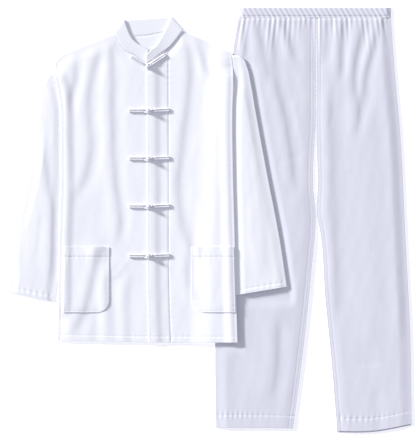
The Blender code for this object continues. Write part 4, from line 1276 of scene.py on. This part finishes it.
@dataclass
class FrogButton:
    """A loop of doubled cord from the right front, round a knotted ball on the left front."""

    number: int
    ball: Array
    to_right: Array
    to_left: Array
    finish: bpy.types.Material
    ball_radius: float = 5.5
    ball_height: float = 7.7
    loop: tuple[Turn, ...] = (
        Turn(46, 2.3, 0, 2.1), Turn(34, 2.3, 0, 2.1), Turn(22, 2.3, 0, 2.1), Turn(13, 2.4, 0, 2.1),
        Turn(8.5, 3.1, 0, 1.9), Turn(4.5, 4.5, 0, 1.7), Turn(0.5, 5.5, 0.1, 1.6), Turn(-3.2, 5.4, 0.7, 1.6),
        Turn(-6, 4.2, 2.1, 1.6), Turn(-8, 2.3, 3.2, 1.6), Turn(-8.6, 0, 3.4, 1.6),
    )
    knot: tuple[Turn, ...] = (
        Turn(-50, 2.3, 0, 2.1), Turn(-38, 2.3, 0, 2.1), Turn(-26, 2.3, 0, 2.1), Turn(-16, 2.2, 0, 2.1),
        Turn(-12, 1.7, 0, 1.6), Turn(-7.5, 1.35, 0, 1.4), Turn(-3, 1.2, 0.9, 1.4), Turn(-0.5, 0.9, 3.4, 1.4),
    )

    @staticmethod
    def highest(spot: Array, radius: float) -> float:
        """Highest that the cloth reaches within a small disc."""
        angles = np.repeat(np.linspace(0, 2 * np.pi, 8, endpoint=False), 3)
        reach = np.tile([0.0, 0.6, 1.0], 8) * radius
        return float(JACKET.front_top(spot[0] + reach * np.cos(angles), spot[1] + reach * np.sin(angles)).max())

    def spot(self, turn: Turn, sign: int) -> Array:
        """Where a turn's cord runs, mirrored about the strip's middle where sign is -1."""
        beside_right = np.array([self.to_right[1], -self.to_right[0]])
        beside_left = np.array([-self.to_left[1], self.to_left[0]])
        share = float(ease((turn.along + 4) / 8))
        aside = share * beside_right + (1 - share) * beside_left
        strip = self.to_right if turn.along >= 0 else -self.to_left
        plan = self.ball + turn.along * strip + sign * turn.aside * aside / np.hypot(*aside)
        height = self.highest(plan, turn.radius + 0.8) + SEAM_GAP + turn.radius + turn.raised
        return np.array([*plan, height])

    def cord(self, spots: list[Array], radii: list[float]) -> bmesh.types.BMesh:
        """A smooth cord through its spots."""
        path = smooth_path(np.array(spots))
        along = np.linspace(0, len(radii) - 1, len(path))
        path[:, :2] += JACKET_AT
        return sweep(path, np.interp(along, np.arange(len(radii)), radii), around=12)

    def knotted_ball(self) -> bmesh.types.BMesh:
        """The ball: one strand that winds over and under itself, round a core."""
        t = np.linspace(0, 2 * np.pi, 261)
        lift = 0.55 * np.cos(12 * t)
        radius = self.ball_radius - 1.45 + lift
        up = 0.95 * np.sin(4 * t)
        plan = np.sqrt(1 - up**2)
        path = np.column_stack([plan * np.cos(3 * t), plan * np.sin(3 * t), up]) * radius[:, None]
        path[-1] = path[0]
        height = self.highest(self.ball, 1.6) + self.ball_height
        centre = np.array([*(self.ball + JACKET_AT), height])
        strand = sweep(path + centre, np.full(len(path), 1.25), around=8, closed=True)
        core = bmesh.new()
        bmesh.ops.create_icosphere(core, subdivisions=2, radius=(self.ball_radius - 1.7) * MM,
                                   matrix=Matrix.Translation(Vector(centre * MM)), calc_uvs=True)
        return joined([strand, core])

    def build(self) -> list[bpy.types.Object]:
        """Loop and ball."""
        one = [self.spot(turn, 1) for turn in self.loop]
        two = [self.spot(turn, -1) for turn in self.loop[:-1]]
        radii = [turn.radius for turn in self.loop]
        name = f"frog_loop_{self.number}"
        loop_cord = self.cord([*one, *two[::-1]], [*radii, *radii[-2::-1]])
        loop = place(loop_cord, name, self.finish, [name])
        strands = [self.cord([self.spot(turn, sign) for turn in self.knot], [turn.radius for turn in self.knot])
                   for sign in (1, -1)]
        name = f"frog_ball_{self.number}"
        ball = place(joined([*strands, self.knotted_ball()]), name, self.finish, [name])
        return [loop, ball]


def frogs(finish: bpy.types.Material) -> list[FrogButton]:
    """The five frogs: the collar's is a V, the others lie level."""
    places = [(np.array([0.0, 663.0]), np.array([-47.0, 27.0]), np.array([56.0, 37.0]))]
    for height in (557.0, 442.0, 327.0, 208.0):
        ball = np.array([float(through(JACKET.centre, height)) + 3.0, height])
        places.append((ball, np.array([-1.0, 0.01]), np.array([1.0, 0.04])))
    return [FrogButton(number, ball, right / np.hypot(*right), left / np.hypot(*left), finish)
            for number, (ball, right, left) in enumerate(places, 1)]


# Studio


@dataclass
class Studio:
    """Pale floor, a low key light from the upper left, even fill, and a camera straight above."""

    frame_width: float = 1.0008
    frame_height: float = 1.0584
    centre: tuple[float, float] = (-0.0048, -0.0012)
    key_elevation: float = 17.0
    key_azimuth: float = 150.0
    key_strength: float = 5.0
    key_softness: float = 9.0
    fill: tuple[float, float, float] = (0.48, 0.485, 0.56)

    def floor(self) -> None:
        """A wide plain floor."""
        bm = bmesh.new()
        bmesh.ops.create_grid(bm, x_segments=1, y_segments=1, size=6.0)
        bmesh.ops.translate(bm, verts=bm.verts, vec=(0, 0, -0.0003))
        mesh = bpy.data.meshes.new("floor")
        bm.to_mesh(mesh)
        bm.free()
        paint = bpy.data.materials.new("pale_floor")
        paint.use_nodes = True
        shader = paint.node_tree.nodes["Principled BSDF"]
        shader.inputs["Base Color"].default_value = (0.97, 0.97, 0.975, 1)
        shader.inputs["Roughness"].default_value = 0.9
        shader.inputs["Emission Color"].default_value = (1, 1, 1, 1)
        shader.inputs["Emission Strength"].default_value = 0.42
        mesh.materials.append(paint)
        ground = bpy.data.objects.new("floor", mesh)
        bpy.context.scene.collection.objects.link(ground)

    def lights(self) -> None:
        """The key light and the world's fill."""
        lamp = bpy.data.lights.new("key", "SUN")
        lamp.energy = self.key_strength
        lamp.angle = np.radians(self.key_softness)
        key = bpy.data.objects.new("key", lamp)
        up, round_ = np.radians(self.key_elevation), np.radians(self.key_azimuth)
        toward = Vector((np.cos(up) * np.cos(round_), np.cos(up) * np.sin(round_), np.sin(up)))
        key.rotation_euler = toward.to_track_quat("Z", "Y").to_euler()
        bpy.context.scene.collection.objects.link(key)
        world = bpy.data.worlds.new("studio")
        world.use_nodes = True
        backdrop = world.node_tree.nodes["Background"]
        backdrop.inputs["Color"].default_value = (*self.fill, 1)
        backdrop.inputs["Strength"].default_value = 1.0
        bpy.context.scene.world = world

    def camera(self) -> None:
        """The photograph's view from straight above."""
        lens = bpy.data.cameras.new("above")
        lens.type = "ORTHO"
        lens.ortho_scale = max(self.frame_width, self.frame_height)
        camera = bpy.data.objects.new("above", lens)
        camera.location = (*self.centre, 2.0)
        bpy.context.scene.collection.objects.link(camera)
        bpy.context.scene.camera = camera


def main() -> None:
    """Builds the studio and then every piece in order."""
    logging.basicConfig(level=logging.INFO, format="%(name)s %(message)s")
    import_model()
    bpy.context.scene.view_settings.view_transform = "Standard"
    studio = Studio()
    studio.floor()
    studio.lights()
    studio.camera()

    jacket = Cotton("jacket_cotton", *JACKET_WHITES).build()
    sleeve_right = Cotton("sleeve_cotton_right", *JACKET_WHITES, turn=-SLEEVE_GRAIN).build()
    sleeve_left = Cotton("sleeve_cotton_left", *JACKET_WHITES, turn=SLEEVE_GRAIN).build()
    trousers = Cotton("trouser_cotton", *TROUSER_WHITES).build()
    cord = RolledCord("frog_cord", *CORD_WHITE_AND_GROOVE_SHADE).build()
    thread = RolledCord("thread", *THREAD_WHITE_AND_GROOVE_SHADE, turns=3.0).build()

    trouser_rows = Stitching("trouser_stitches", TROUSERS_AT)
    for side in Side:
        leg = TrouserLeg(side, trousers)
        leg.build()
        leg.sew(trouser_rows)
    band = Waistband(trousers)
    band.build()
    band.sew(trouser_rows)
    trouser_rows.build(thread, "trouser_cloth")

    jacket_rows = Stitching("jacket_stitches", JACKET_AT)
    JacketBack(jacket).build()
    for side, sleeve_finish, top, near, far, gape_at in (
        (Side.RIGHT, sleeve_right, 646.0, 12.0, 122.0, -126.0), (Side.LEFT, sleeve_left, 690.0, 3.0, 108.0, 112.0),
    ):
        front = JacketFront(side, jacket)
        pocket = PatchPocket(side, jacket, near, far, gape_at)
        sleeve = Sleeve(side, sleeve_finish, top)
        for piece in (front, pocket, sleeve):
            piece.build()
            piece.sew(jacket_rows)
    Collar(jacket).build()
    for frog in frogs(cord):
        frog.build()
    jacket_rows.build(thread, "jacket_cloth")


if __name__ == "__main__":
    main()
